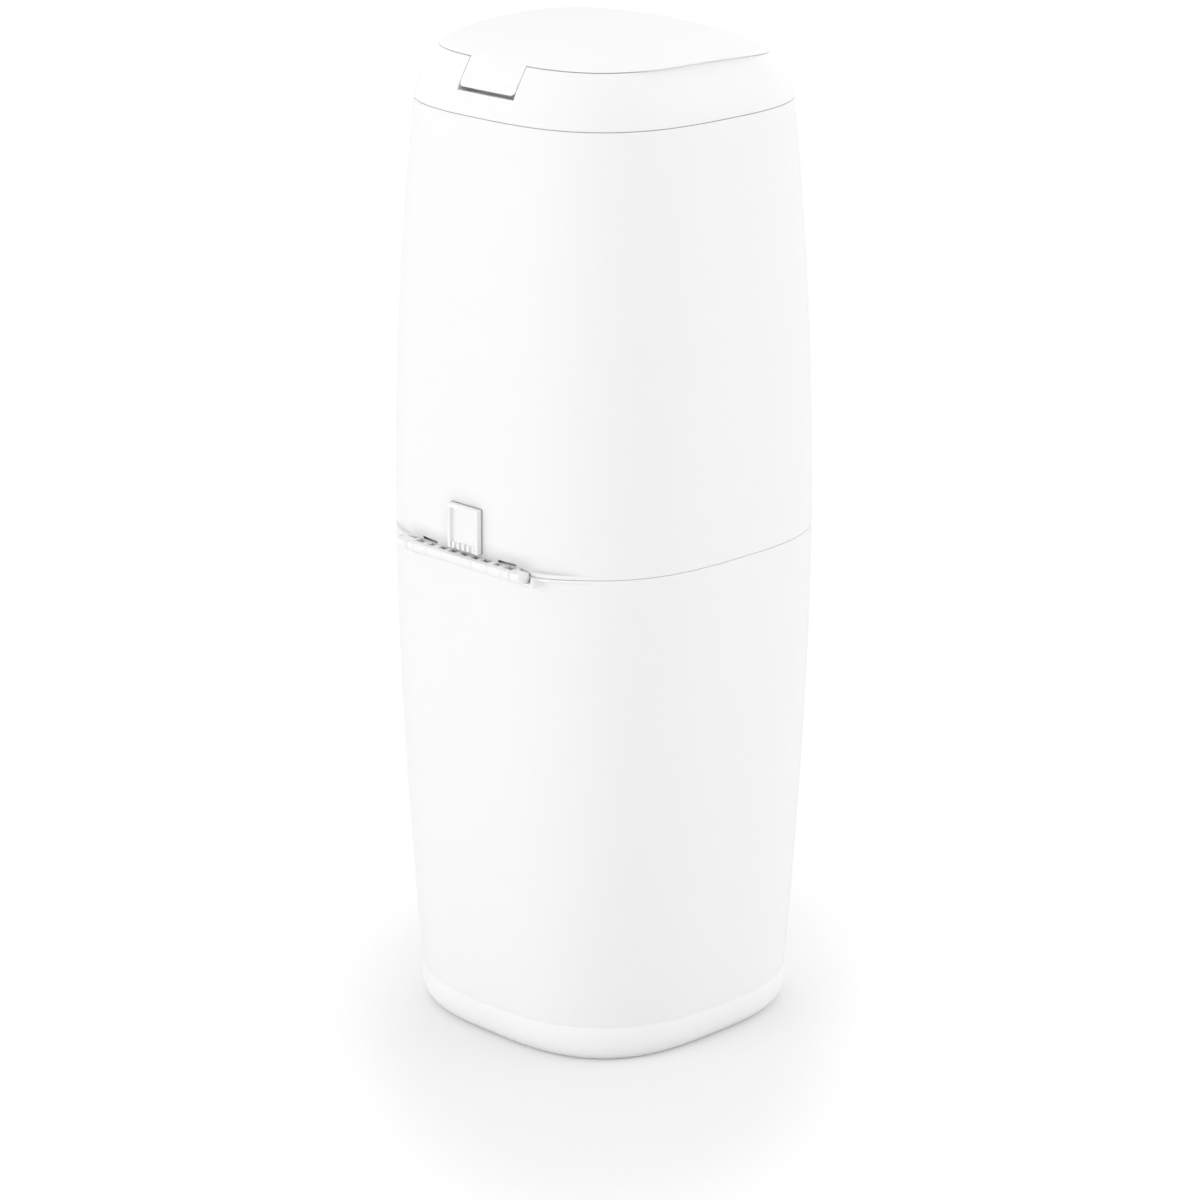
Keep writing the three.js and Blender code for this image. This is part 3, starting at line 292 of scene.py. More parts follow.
class Sock:
    """An output socket in a node tree. Arithmetic on it adds Math nodes."""

    def __init__(self, weave, out):
        self.weave = weave
        self.out = out

    def named(self, name):
        return Sock(self.weave, self.out.node.outputs[name])

    def math(self, operation, *values):
        return self.weave.node("ShaderNodeMath", {"operation": operation}, dict(enumerate(values)))

    def __add__(self, other):
        return self.math("ADD", self, other)

    def __radd__(self, other):
        return self.math("ADD", other, self)

    def __sub__(self, other):
        return self.math("SUBTRACT", self, other)

    def __rsub__(self, other):
        return self.math("SUBTRACT", other, self)

    def __mul__(self, other):
        return self.math("MULTIPLY", self, other)

    def __rmul__(self, other):
        return self.math("MULTIPLY", other, self)

    def __truediv__(self, other):
        return self.math("DIVIDE", self, other)

    def __rtruediv__(self, other):
        return self.math("DIVIDE", other, self)

    def __pow__(self, other):
        return self.math("POWER", self, other)

    def __abs__(self):
        return self.math("ABSOLUTE", self)

    def sign(self):
        return self.math("SIGN", self)

    def sine(self):
        return self.math("SINE", self)

    def cosine(self):
        return self.math("COSINE", self)

    def at_least(self, other):
        return self.math("MAXIMUM", self, other)

    def above(self, other):
        return self.math("GREATER_THAN", self, other)

    def smooth(self, low, high):
        """0 below low, 1 above high and a soft rise between them."""
        settings = {"interpolation_type": "SMOOTHSTEP"}
        inputs = {"Value": self, "From Min": low, "From Max": high, "To Min": 0.0, "To Max": 1.0}
        return self.weave.node("ShaderNodeMapRange", settings, inputs)


class Weave:
    """Adds nodes to one tree."""

    def __init__(self, tree):
        self.tree = tree
        tree.nodes.clear()

    def node(self, kind, settings=None, inputs=None, output=0):
        node = self.tree.nodes.new(kind)
        for name, value in (settings or {}).items():
            setattr(node, name, value)
        for key, value in (inputs or {}).items():
            if isinstance(value, Sock):
                self.tree.links.new(value.out, node.inputs[key])
            else:
                node.inputs[key].default_value = value
        return Sock(self, node.outputs[output]) if node.outputs else node

    def attribute(self, name, kind="FLOAT"):
        return self.node("GeometryNodeInputNamedAttribute", {"data_type": kind}, {"Name": name})

    def tint(self, mask, dark, light):
        """Colour between two, by a mask. The sockets are the Mix node's own for colours."""
        return self.node("ShaderNodeMix", {"data_type": "RGBA"}, {0: mask, 6: dark, 7: light}, 2)

    def along(self, place, direction):
        """How far a place lies along a direction."""
        dot = {"operation": "DOT_PRODUCT"}
        return self.node("ShaderNodeVectorMath", dot, {0: place, 1: direction}, "Value")


def new_tree(name, inputs):
    """A geometry node group with a Geometry in and out, the named inputs between, and a Material.

    An input is given as the default of a number, or as the type of another socket.
    """
    tree = bpy.data.node_groups.new(name, "GeometryNodeTree")
    sockets = {"Geometry": "NodeSocketGeometry", **inputs, "Material": "NodeSocketMaterial"}
    for socket_name, value in sockets.items():
        kind = value if isinstance(value, str) else "NodeSocketFloat"
        socket = tree.interface.new_socket(socket_name, in_out="INPUT", socket_type=kind)
        if kind == "NodeSocketFloat":
            socket.default_value = value
    tree.interface.new_socket("Geometry", in_out="OUTPUT", socket_type="NodeSocketGeometry")
    weave = Weave(tree)
    return tree, weave, weave.node("NodeGroupInput")


def end_tree(weave, start, geometry):
    """Realize Instances and Set Material close every tree."""
    real = weave.node("GeometryNodeRealizeInstances", None, {"Geometry": geometry})
    inputs = {"Geometry": real, "Material": start.named("Material")}
    weave.node("NodeGroupOutput", None, {0: weave.node("GeometryNodeSetMaterial", None, inputs)})


def wrap_tree():
    """Wraps a strip of rows round a rounded square whose half width and power each row gives."""
    tree, weave, start = new_tree("wrap_round", {
        "Flare Reach": FLARE_REACH,
        "Flare Root": BARREL_HALF + 0.0007,
        "Flare Full": LUG_OUTER + 0.004,
        "Flare End": LUG_OUTER + 0.035,
        "Dip Depth": DIP_DEPTH,
        "Dip Start": 0.0176,
        "Dip Run": 0.1,
        "Scoop Depth": SCOOP_DEPTH,
        "Scoop Front": -0.05,
        "Scoop Rear": 0.06,
        "Scoop Blend": 0.022,
        "Scoop Side": MOUTH_HALF,
        "Pleats": float(PLEATS),
    })
    size = start.named
    turn = weave.attribute("turn")
    power = weave.attribute("power")
    fold = (turn * size("Pleats")).sine()
    half = weave.attribute("half") + weave.attribute("pleat") * fold
    across = turn.cosine()
    along = turn.sine()
    x = half * across.sign() * abs(across) ** (2 / power)
    y = half * along.sign() * abs(along) ** (2 / power)
    rise = abs(x).smooth(size("Flare Root"), size("Flare Full"))
    fade = 1 - abs(x).smooth(size("Flare Full"), size("Flare End"))
    lip = size("Flare Reach") * weave.attribute("flare") * rise * fade * y.above(0.0)
    blend = size("Scoop Blend")
    rear = 1 - y.smooth(size("Scoop Rear") - blend, size("Scoop Rear"))
    front = y.smooth(size("Scoop Front"), size("Scoop Front") + blend)
    side = abs(x).smooth(size("Scoop Side") / 2, size("Scoop Side"))
    hollow = size("Scoop Depth") * weave.attribute("scoop") * rear * front * side
    run = (size("Dip Start") - y).at_least(0.0) / size("Dip Run")
    fall = size("Dip Depth") * weave.attribute("dip") * run * run
    place = {"X": x - x.sign() * hollow, "Y": y + lip, "Z": weave.attribute("z") - fall}
    spot = weave.node("ShaderNodeCombineXYZ", None, place)
    moved = weave.node("GeometryNodeSetPosition", None, {"Geometry": start, "Position": spot})
    end_tree(weave, start, moved)
    return tree


def set_out_tree():
    """Puts a copy of one small piece on every point of the mesh it is given, scaled by its size."""
    tree, weave, start = new_tree("set_out", {"Piece": "NodeSocketObject"})
    piece = weave.node("GeometryNodeObjectInfo", None, {"Object": start.named("Piece")}, "Geometry")
    inputs = {"Points": start, "Instance": piece, "Scale": weave.attribute("size", "FLOAT_VECTOR")}
    end_tree(weave, start, weave.node("GeometryNodeInstanceOnPoints", None, inputs))
    return tree


def coil_tree():
    """A compression spring along Z from the origin, with close coils at both ends."""
    tree, weave, start = new_tree("coil", {
        "Radius": 0.0023, "Length": 0.07, "Wire": WIRE, "Curls": 12.0,
        "Turn": "NodeSocketVector", "Place": "NodeSocketVector",
    })
    radius, length, wire = (start.named(name) for name in ("Radius", "Length", "Wire"))
    helix = weave.node("GeometryNodeCurveSpiral", None, {
        "Resolution": 24, "Rotations": start.named("Curls"), "Start Radius": radius,
        "End Radius": radius, "Height": 1.0,
    })
    spot = weave.node("ShaderNodeSeparateXYZ", None, {0: weave.node("GeometryNodeInputPosition")})
    share = spot.named("Z")
    eased = share - (share * math.tau).sine() * (END_CLOSENESS / math.tau)
    run = length - 2 * wire
    lifted = {"X": spot, "Y": spot.named("Y"), "Z": wire + run * eased}
    moved = weave.node("ShaderNodeCombineXYZ", None, lifted)
    bent = weave.node("GeometryNodeSetPosition", None, {"Geometry": helix, "Position": moved})
    circle = weave.node("GeometryNodeCurvePrimitiveCircle", None, {"Resolution": 8, "Radius": wire})
    swept = {"Curve": bent, "Profile Curve": circle, "Fill Caps": True}
    solid = weave.node("GeometryNodeCurveToMesh", None, swept)
    turn = {"Geometry": solid, "Rotation": start.named("Turn")}
    upright = weave.node("GeometryNodeTransform", None, turn)
    move = {"Geometry": upright, "Translation": start.named("Place")}
    end_tree(weave, start, weave.node("GeometryNodeTransform", None, move))
    return tree


def tree_named(name):
    """The node group of that name, made once."""
    makers = {"wrap": wrap_tree, "set_out": set_out_tree, "coil": coil_tree}
    if name not in TREES:
        TREES[name] = makers[name]()
    return TREES[name]


def through(obj, name, **inputs):
    """Sends an object through a node group and keeps the plain mesh that comes out."""
    modifier = obj.modifiers.new(name, "NODES")
    modifier.node_group = tree_named(name)
    given = {key.replace("_", " "): value for key, value in inputs.items()}
    for item in modifier.node_group.interface.items_tree:
        if item.in_out == "INPUT" and item.name in given:
            modifier[item.identifier] = given[item.name]
    return settle(obj)


def settle(obj):
    """Turns an object's modifiers into its plain mesh."""
    depsgraph = bpy.context.evaluated_depsgraph_get()
    mesh = bpy.data.meshes.new_from_object(obj.evaluated_get(depsgraph))
    obj.modifiers.clear()
    old = obj.data
    obj.data = mesh
    bpy.data.meshes.remove(old)
    mesh.name = obj.name
    return obj


def new_object(name, mesh):
    obj = bpy.data.objects.new(name, mesh)
    bpy.context.scene.collection.objects.link(obj)
    return obj


def discard(obj):
    mesh = obj.data
    bpy.data.objects.remove(obj)
    bpy.data.meshes.remove(mesh)


def mixed(a, b, share):
    return a + (b - a) * share


def evenly(low, high, count):
    return [mixed(low, high, step / count) for step in range(count + 1)]


def side_span(side, inner, outer):
    """Reach along X of something on one side, lowest end first."""
    return sorted((side * inner, side * outer))


def grown(ends, by):
    return ends[0] - by, ends[1] + by


def nodes_named(start):
    return [name for name in frame["nodes"] if name.startswith(start)]


def spots_under(names):
    """For set_out: the middle of each node's underside, at full size."""
    spots = []
    for name in sorted(names):
        low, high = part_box(name)
        middle = (low + high) / 2
        spots.append(((middle.x, middle.y, low.z), (1.0, 1.0, 1.0)))
    return spots


def body_half(z):
    middle = SHOULDER / 2
    rise = (z - middle) / middle
    return WAIST_HALF * sum(share * rise**order for order, share in enumerate(SWELL_SHARES))


def body_power(z):
    if z < SPLIT:
        return mixed(BAND_POWER, SPLIT_POWER, (z - BAND_TOP) / (SPLIT - BAND_TOP))
    return mixed(SPLIT_POWER, SHOULDER_POWER, (z - SPLIT) / (SHOULDER - SPLIT))


def collar_half(z):
    share = max(0.0, (z - SHOULDER) / COLLAR_RISE)
    return body_half(SHOULDER) - COLLAR_LEAN * share**COLLAR_CURVE


LID_LINE_HALF = collar_half(LID_LINE)


def body_row(z, inset=0.0, flare=0.0, soft=0.0):
    return Row(body_half(z) - inset, z, body_power(z), flare=flare, soft=soft)


def rim_lip(rim, reach):
    """Rows of a rim's lip: its edge, its far side and the wall behind it."""
    return [
        body_row(rim, flare=1.0, soft=SEAM_SOFT),
        body_row(rim + reach, flare=1.0, soft=FLARE_SOFT),
        body_row(rim + reach + math.copysign(FLARE_BLEND, reach), soft=FLARE_ROOT_SOFT),
    ]


def dip_share(z):
    """How much of the front dip a height takes, from none at the shoulder to all at the top."""
    return max(0.0, z - SHOULDER) / (COLLAR_RISE + CROWN_RISE)


def collar_row(half, z, scoop=0.0, soft=0.0):
    share = max(0.0, (z - SHOULDER) / COLLAR_RISE)
    power = mixed(SHOULDER_POWER, LID_LINE_POWER, share)
    return Row(half, z, power, dip=dip_share(z), scoop=scoop, soft=soft)


def lid_row(half, z, soft=0.0):
    return Row(half, z, LID_LINE_POWER, dip=dip_share(z), soft=soft)


def core_row(half, z, soft=0.0, pleat=0.0):
    return Row(half, z, CORE_POWER, pleat=pleat, soft=soft)


def crown_rows(growth, lift):
    """Rows of the lid's dome from its edge, lifted off the line, to near its top."""
    rows = []
    for share in CROWN_SHARES:
        up = (1 - share**CROWN_OUT_CURVE) ** (1 / CROWN_UP_CURVE)
        z = LID_LINE + lift + (CROWN_RISE + growth - lift) * up
        power = mixed(LID_LINE_POWER, CROWN_POWER, up)
        rows.append(Row((LID_LINE_HALF + growth) * share, z, power, dip=dip_share(z)))
    return rows


def softened(rows, closed):
    """Puts a small arc at every row that has a soft radius."""
    result = []
    count = len(rows)
    for index, row in enumerate(rows):
        at_end = not closed and index in (0, count - 1)
        if row.soft <= 0 or at_end:
            result.append(row)
            continue
        ends = []
        for other in (rows[index - 1], rows[(index + 1) % count]):
            length = math.hypot(other.half - row.half, other.z - row.z)
            share = min(0.5, row.soft / max(length, 1e-9))
            ends.append([mixed(a, b, share) for a, b in zip(row, other)])
        for step in range(ARC_STEPS + 1):
            way = step / ARC_STEPS
            near, mid, far = (1 - way) ** 2, 2 * way * (1 - way), way**2
            values = zip(ends[0], row, ends[1])
            result.append(Row(*(near * a + mid * b + far * c for a, b, c in values)))
    return result


def wrapped(name, rows, closed, steps=STEPS_ROUND):
    """One closed body: rows of a profile, wrapped round the rounded square."""
    sizes = bpy.context.scene.nappy_bin_sizes
    rows = softened(rows, closed)
    corners = [(math.tau * step / steps, row) for row in rows for step in range(steps)]
    faces = []
    for span in range(len(rows) if closed else len(rows) - 1):
        low = span * steps
        high = (span + 1) % len(rows) * steps
        for step in range(steps):
            after = (step + 1) % steps
            faces.append((low + step, low + after, high + after, high + step))
    if not closed:
        for row, first in ((rows[0], 0), (rows[-1], (len(rows) - 1) * steps)):
            centre = len(corners)
            corners.append((0.0, row._replace(half=0.0, pleat=0.0)))
            for step in range(steps):
                edge = (first + step, first + (step + 1) % steps)
                faces.append((centre, *(edge[::-1] if first == 0 else edge)))
    columns = {field: [getattr(row, field) for turn, row in corners] for field in Row._fields[:-1]}
    columns["turn"] = [turn for turn, row in corners]
    mesh = bpy.data.meshes.new(name)
    mesh.from_pydata([(turn, row.half, row.z) for turn, row in corners], [], faces)
    for field, values in columns.items():
        mesh.attributes.new(field, "FLOAT", "POINT").data.foreach_set("value", values)
    obj = through(
        new_object(name, mesh), "wrap", Flare_Reach=sizes.flare, Dip_Depth=sizes.dip,
        Scoop_Depth=sizes.scoop, Pleats=float(sizes.pleats),
    )
    for field in columns:
        obj.data.attributes.remove(obj.data.attributes[field])
    return obj


def block(name, x, y, z, bevel=0.0):
    """A box that reaches so far along each axis, with its edges rounded if asked."""
    low, high = (Vector(corner) for corner in zip(x, y, z))
    made = bmesh.new()
    bmesh.ops.create_cube(made, size=1.0)
    place = Matrix.Translation((high + low) / 2) @ Matrix.Diagonal((*(high - low), 1))
    bmesh.ops.transform(made, matrix=place, verts=made.verts)
    if bevel > 0:
        bmesh.ops.bevel(
            made, geom=made.edges[:], offset=bevel, segments=3, profile=0.5, affect="EDGES"
        )
    return filled(name, made)


def filled(name, made):
    bmesh.ops.recalc_face_normals(made, faces=made.faces)
    mesh = bpy.data.meshes.new(name)
    made.to_mesh(mesh)
    made.free()
    return new_object(name, mesh)


def turned(name, profile, axis, place, sides=48):
    """A closed turned solid: (radius, distance) pairs along an axis through a place."""
    made = bmesh.new()
    rings = []
    for radius, distance in profile:
        ring = []
        for side in range(sides):
            angle = math.tau * side / sides
            x, y = radius * math.cos(angle), radius * math.sin(angle)
            ring.append(made.verts.new((x, y, distance)))
        rings.append(ring)
    for lower, upper in zip(rings, rings[1:]):
        for side in range(sides):
            after = (side + 1) % sides
            made.faces.new((lower[side], lower[after], upper[after], upper[side]))
    made.faces.new(rings[0])
    made.faces.new(rings[-1])
    turns = {
        "X": Matrix.Rotation(math.pi / 2, 4, "Y"),
        "Y": Matrix.Rotation(-math.pi / 2, 4, "X"),
        "Z": Matrix.Identity(4),
    }
    bmesh.ops.transform(made, matrix=Matrix.Translation(place) @ turns[axis], verts=made.verts)
    return filled(name, made)


def bar(name, radius, low, high, axis, place, chamfer=0.0, sides=48):
    """A round bar between two distances along an axis, with its ends chamfered if asked."""
    profile = [(radius, low), (radius, high)]
    if chamfer > 0:
        profile = [
            (radius - chamfer, low), (radius, low + chamfer),
            (radius, high - chamfer), (radius - chamfer, high),
        ]
    return turned(name, profile, axis, place, sides)


def prism(name, outline, axis, low, high):
    """A prism of an outline: (x, z) pairs along Y, or (y, z) pairs along X."""
    made = bmesh.new()
    ends = []
    for distance in (low, high):
        spots = [(distance, a, b) if axis == "X" else (a, distance, b) for a, b in outline]
        ends.append([made.verts.new(spot) for spot in spots])
        made.faces.new(ends[-1])
    for index in range(len(outline)):
        after = (index + 1) % len(outline)
        made.faces.new((ends[0][index], ends[0][after], ends[1][after], ends[1][index]))
    return filled(name, made)


def rounded_outline(half, low, high, corner):
    """Outline of a plate seen from the front, with an arc at each corner."""
    steps = 10
    points = []
    for x, z, first in ((half, low, -90), (half, high, 0), (-half, high, 90), (-half, low, 180)):
        centre_x = x - math.copysign(corner, x)
        centre_z = z + corner if z == low else z - corner
        for step in range(steps + 1):
            angle = math.radians(first + 90 * step / steps)
            across, up = corner * math.cos(angle), corner * math.sin(angle)
            points.append((centre_x + across, centre_z + up))
    return points


def button_outline(middle, gap=0.0):
    """The release button's face round a height, grown by a gap."""
    tall = BUTTON_TALL + gap
    return rounded_outline(BUTTON_HALF + gap, middle - tall, middle + tall, BUTTON_CORNER + gap)


def set_out(name, spots, piece):
    """Copies of a small piece on (place, size) pairs, as one mesh."""
    mesh = bpy.data.meshes.new(name)
    mesh.from_pydata([place for place, size in spots], [], [])
    sizes = mesh.attributes.new("size", "FLOAT_VECTOR", "POINT")
    sizes.data.foreach_set("vector", [part for place, size in spots for part in size])
    obj = through(new_object(name, mesh), "set_out", Piece=piece)
    discard(piece)
    return obj


def combine(obj, tool, operation):
    """Joins, cuts or trims a piece by another, which is used up."""
    modifier = obj.modifiers.new("combine", "BOOLEAN")
    modifier.operation = operation
    modifier.solver = "EXACT"
    modifier.object = tool
    settle(obj)
    discard(tool)
    return obj


def cut(obj, *tools):
    for tool in tools:
        combine(obj, tool, "DIFFERENCE")
    return obj


def join(obj, *others):
    for other in others:
        combine(obj, other, "UNION")
    return obj


def trim(obj, tool):
    return combine(obj, tool, "INTERSECT")


def shade(obj):
    """Smooth faces, with an edge wherever the surface turns sharply."""
    obj.data.polygons.foreach_set("use_smooth", [True] * len(obj.data.polygons))
    obj.data.set_sharp_from_angle(angle=EDGE_ANGLE)


def place_piece(obj, body, nodes, slot, finish=None):
    """Dresses a finished piece, rides it on its body and lets it stand for its nodes."""
    obj.data.materials.clear()
    obj.data.materials.append(MATERIALS[finish or slot])
    shade(obj)
    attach(obj, body)
    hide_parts(*nodes)


def round_edges(obj, radius, segments, sharper_than):
    modifier = obj.modifiers.new("edges", "BEVEL")
    modifier.width = radius
    modifier.segments = segments
    modifier.limit_method = "ANGLE"
    modifier.angle_limit = math.radians(sharper_than)
    return settle(obj)


def refine(node, name, body, slot, soft):
    """Dresses a copy of a frame node with its flat faces joined and its edges rounded."""
    made = bmesh.new()
    made.from_mesh(frame["nodes"][node].data)
    bmesh.ops.remove_doubles(made, verts=made.verts, dist=1e-6)
    flat = math.radians(0.5)
    bmesh.ops.dissolve_limit(made, angle_limit=flat, verts=made.verts, edges=made.edges)
    mesh = bpy.data.meshes.new(name)
    made.to_mesh(mesh)
    made.free()
    obj = round_edges(new_object(name, mesh), soft, segments=2, sharper_than=40)
    place_piece(obj, body, [node], slot)


def new_material(name):
    material = bpy.data.materials.new(name)
    material.use_nodes = True
    return material, Weave(material.node_tree)


def close_material(weave, inputs):
    surface = weave.node("ShaderNodeBsdfPrincipled", None, inputs)
    weave.node("ShaderNodeOutputMaterial", None, {"Surface": surface})


def grain(weave, scale, detail=3.0, stretch=(1.0, 1.0, 1.0)):
    """Noise from 0 to 1 in the piece's own place, its cells so many to the metre."""
    where = weave.node("ShaderNodeTexCoord", None, None, "Object")
    spot = weave.node("ShaderNodeMapping", None, {"Vector": where, "Scale": stretch})
    inputs = {"Vector": spot, "Scale": scale, "Detail": detail}
    return weave.node("ShaderNodeTexNoise", None, inputs)


def bumped(weave, height, distance):
    """Relief of so many metres."""
    relief = {"Height": height, "Distance": distance, "Strength": 1.0}
    return weave.node("ShaderNodeBump", None, relief)


def darker(colour, share):
    return (*(part * share for part in colour), 1.0)


def moulded(name, colour, roughness=0.42, texture=0.00002, painted_shade_share=1.0):
    """Moulded plastic: fine spark-eroded grain, slow flow marks and a slight change of tone.

    Below a share of 1, its colour falls to that share of itself deep in a corner: painted shade.
    """
    gloss_change = 0.06
    material, weave = new_material(name)
    flow = grain(weave, scale=9.0, detail=2.0, stretch=(1.0, 1.0, 0.35))
    fine = grain(weave, scale=1600.0, detail=2.0)
    tone = weave.tint(flow, darker(colour, 0.985), darker(colour, 1.0))
    # Painted shade: ambient occlusion darkens the colour in corners and recesses, where shade
    # falls.
    if painted_shade_share < 1:
        corner = {"Distance": 0.011}
        painted_shade_mask = weave.node("ShaderNodeAmbientOcclusion", {"samples": 12}, corner, "AO")
        tone = weave.tint(painted_shade_mask, darker(colour, painted_shade_share), tone)
    close_material(weave, {
        "Base Color": tone,
        "Roughness": roughness - gloss_change / 2 + flow * gloss_change,
        "Normal": bumped(weave, fine, texture),
    })
    return material


def grained(name, colour, noise, tones, roughness, rougher, relief, uniform=None):
    """A finish whose tone, gloss and relief all follow one noise."""
    material, weave = new_material(name)
    mask = grain(weave, **noise)
    dark, light = (darker(colour, share) for share in tones)
    close_material(weave, {
        "Base Color": weave.tint(mask, dark, light),
        "Roughness": roughness + mask * rougher,
        "Normal": bumped(weave, mask, relief),
        **(uniform or {}),
    })
    return material


def film_material(colour):
    streaks = {"scale": 60.0, "stretch": (1.0, 1.0, 0.1)}
    coat = {"Coat Weight": 0.3}
    return grained(
        "pleated film", colour, streaks, (0.86, 1.05), roughness=0.2, rougher=0.16, relief=0.0004,
        uniform=coat,
    )


def rubber_material(name, colour, level):
    dust = {"scale": 240.0, "detail": 4.0}
    tones = (level * 0.9, level * 1.25)
    return grained(name, colour, dust, tones, roughness=0.72, rougher=0.2, relief=0.00006)


def steel_material(name, colour, roughness, stretch):
    """Drawn or brushed steel: fine lines along the stretched axis."""
    lines = {"scale": 900.0, "stretch": stretch}
    metal = {"Metallic": 1.0}
    return grained(
        name, colour, lines, (0.86, 1.0), roughness, rougher=0.14, relief=0.00001, uniform=metal
    )


def make_materials(finish):
    # Painted light: the band's white is a paler copy of the shell's, standing in for light from
    # below on the band.
    painted_light_shell = [part * 1.04 for part in finish.shell]
    MATERIALS.update({
        "shell_white": moulded("white shell plastic", finish.shell),
        # Only the upper shell takes the painted corner shade. It darkens the wall above the hinge
        # and round the stop frame.
        "upper_white_painted_shade": moulded("white upper shell plastic", finish.shell, painted_shade_share=0.45),
        "band_white_painted_light": moulded("white band plastic", painted_light_shell),
        "inner_grey": moulded("grey inner plastic", finish.inner, roughness=0.46, texture=0.00003),
        "button_grey": moulded("button plastic", finish.button, roughness=0.36, texture=0.00001),
        "cassette_blue": moulded(
            "cassette plastic", finish.cassette, roughness=0.22, texture=0.000006
        ),
        "film": film_material(finish.film),
        "soft_rubber": rubber_material("seal rubber", finish.rubber, 1.0),
        "pad_rubber": rubber_material("pad rubber", finish.rubber, 1.8),
        "pin_steel": steel_material("pin steel", finish.steel, 0.24, (0.02, 1.0, 1.0)),
        "spring_steel": steel_material("spring steel", finish.steel, 0.3, (1.0, 1.0, 1.0)),
        "blade_steel": steel_material("blade steel", finish.steel, 0.16, (1.0, 1.0, 0.03)),
    })


def hinge_room(half):
    """Room for the barrel of the rear hinge."""
    return bar("hinge_room", BARREL_RADIUS + SEAT, -half, half, "X", HINGE)


def pin_bore(ends, radius, place):
    return bar("bore", radius + SEAT, *ends, "X", place, sides=BORE_SIDES)


def above_flat(half):
    """Room over the flat top of the rear hinge."""
    y = (REAR_FACE - 4 * PAST, HINGE.y + 4 * PAST)
    return block("above", (-half, half), y, (HINGE_FLAT, HINGE_FLAT + 4 * PAST))


def envelope(low, high, growth, flare=0.0):
    """The body's outer form between two heights, grown or shrunk."""
    rows = [body_row(z, -growth, flare) for z in evenly(low, high, 6)]
    return wrapped("envelope", rows, False)


def lid_envelope(growth):
    """The collar's and the dome's outer form, grown or shrunk."""
    rows = [collar_row(collar_half(z) + growth, z) for z in evenly(SHOULDER, LID_LINE, 14)]
    rows += crown_rows(growth, 0.0)
    return wrapped("lid_envelope", rows, False)


def lower_ear(side):
    """The fixed knuckle on one side of the barrel, with the small hook outside it."""
    depth = 0.008
    root = REAR_FACE - depth
    under = HINGE.z - 0.0032
    foot_end = LUG_OUTER - 0.0045
    soft = 0.0004
    knuckle = bar("ear", BARREL_RADIUS, *side_span(side, LUG_INNER, LUG_OUTER), "X", HINGE, soft)
    x = side_span(side, foot_end, LUG_OUTER + 0.001)
    cut(knuckle, block("under", x, (root, HINGE.y + 2 * PAST), (HINGE.z - 2 * PAST, under)))
    toe = (HINGE.y + BARREL_RADIUS * 0.6, HINGE.z - BARREL_RADIUS * 0.8)
    outline = [
        (root, HINGE.z - depth), (REAR_FACE - SHELL_WALL, HINGE.z - depth), toe, (HINGE.y, HINGE.z),
        (HINGE.y - BARREL_RADIUS, HINGE.z - SEAM), (root, HINGE.z - SEAM),
    ]
    foot = prism("foot", outline, "X", *side_span(side, LUG_INNER, foot_end))
    shelf_start = LUG_OUTER - 0.006
    hook_end = LUG_OUTER + 0.005
    wall = 0.0018
    low = HINGE.z - 0.0056
    y = (root, HINGE.y - 0.0017)
    shelf = block("shelf", side_span(side, shelf_start, hook_end), y, (low, low + wall), soft)
    x = side_span(side, hook_end - wall, hook_end)
    riser = block("riser", x, y, (low, HINGE.z - SEAM), soft)
    join(knuckle, foot, shelf, riser)
    bore = side_span(side, LUG_INNER - PAST, LUG_OUTER - END_SKIN)
    return cut(
        knuckle,
        envelope(HINGE.z - 0.013, HINGE.z + BARREL_RADIUS, -SHELL_WALL / 2),
        pin_bore(bore, PIN_RADIUS, HINGE),
        above_flat(LUG_OUTER + 2 * PAST),
    )


def make_lower_shell(edge):
    rim = SPLIT - SPLIT_SEAM / 2
    ledge = BAND_TOP + BAND_SEAM / 2
    spigot = body_half(BAND_TOP) - SPIGOT_INSET
    inset = SHELL_WALL + LIP_GAP
    floor = BUCKET_UNDER + 0.0028
    floor_corner = 0.006
    rows = [
        Row(BUCKET_FOOT, BUCKET_UNDER, BAND_POWER),
        Row(spigot, ledge, BAND_POWER),
        body_row(ledge, soft=BAND_SEAM),
        *(body_row(z) for z in evenly(ledge + 0.006, rim - PLAIN_START, 30)),
        *reversed(rim_lip(rim, -LOWER_LIP)),
        body_row(rim, inset),
        body_row(rim + LIP_HEIGHT, inset, soft=edge),
        body_row(rim + LIP_HEIGHT, inset + LIP_WALL, soft=edge),
        body_row(rim - LIP_ROOT, inset + LIP_WALL, soft=FILLET),
        *(body_row(z, SHELL_WALL) for z in evenly(rim - LIP_ROOT - LIP_BLEND, ledge, 20)),
        Row(spigot - SHELL_WALL, ledge - SHELL_WALL, BAND_POWER, soft=FILLET),
        Row(BUCKET_FOOT - SHELL_WALL, floor, BAND_POWER, soft=floor_corner),
        Row(BUCKET_FOOT / 2, floor, BAND_POWER),
    ]
    shell = cut(wrapped("lower_shell_moulding", rows, False), hinge_room(LUG_OUTER + SEAT))
    place_piece(shell, "bucket", ["lower_shell"], "shell_white")
    for name, side in (("left", -1), ("right", 1)):
        ear = lower_ear(side)
        ear.name = f"hinge_ear_{name}"
        place_piece(ear, "bucket", ["lower_shell"], "shell_white")


def hinge_slots():
    """Cutters for the two slots above the barrel, and for the thinned wall behind each."""
    soft, room, skin = 0.0003, 0.002, 0.0008
    low = HINGE_FLAT + 0.0004
    z = (low, low + 0.0016)
    y = (REAR_FACE - SHELL_WALL - PAST, REAR_FACE + PAST)
    tools = []
    for side in (-1, 1):
        x = side_span(side, *(BARREL_HALF * share for share in SLOT_SHARES))
        tools.append(block("slot", x, y, z, soft))
        around = grown(z, room)
        thin = block("thin_wall", grown(x, room), y, around)
        tools.append(trim(thin, envelope(*grown(around, 0.002), -skin)))
    return tools


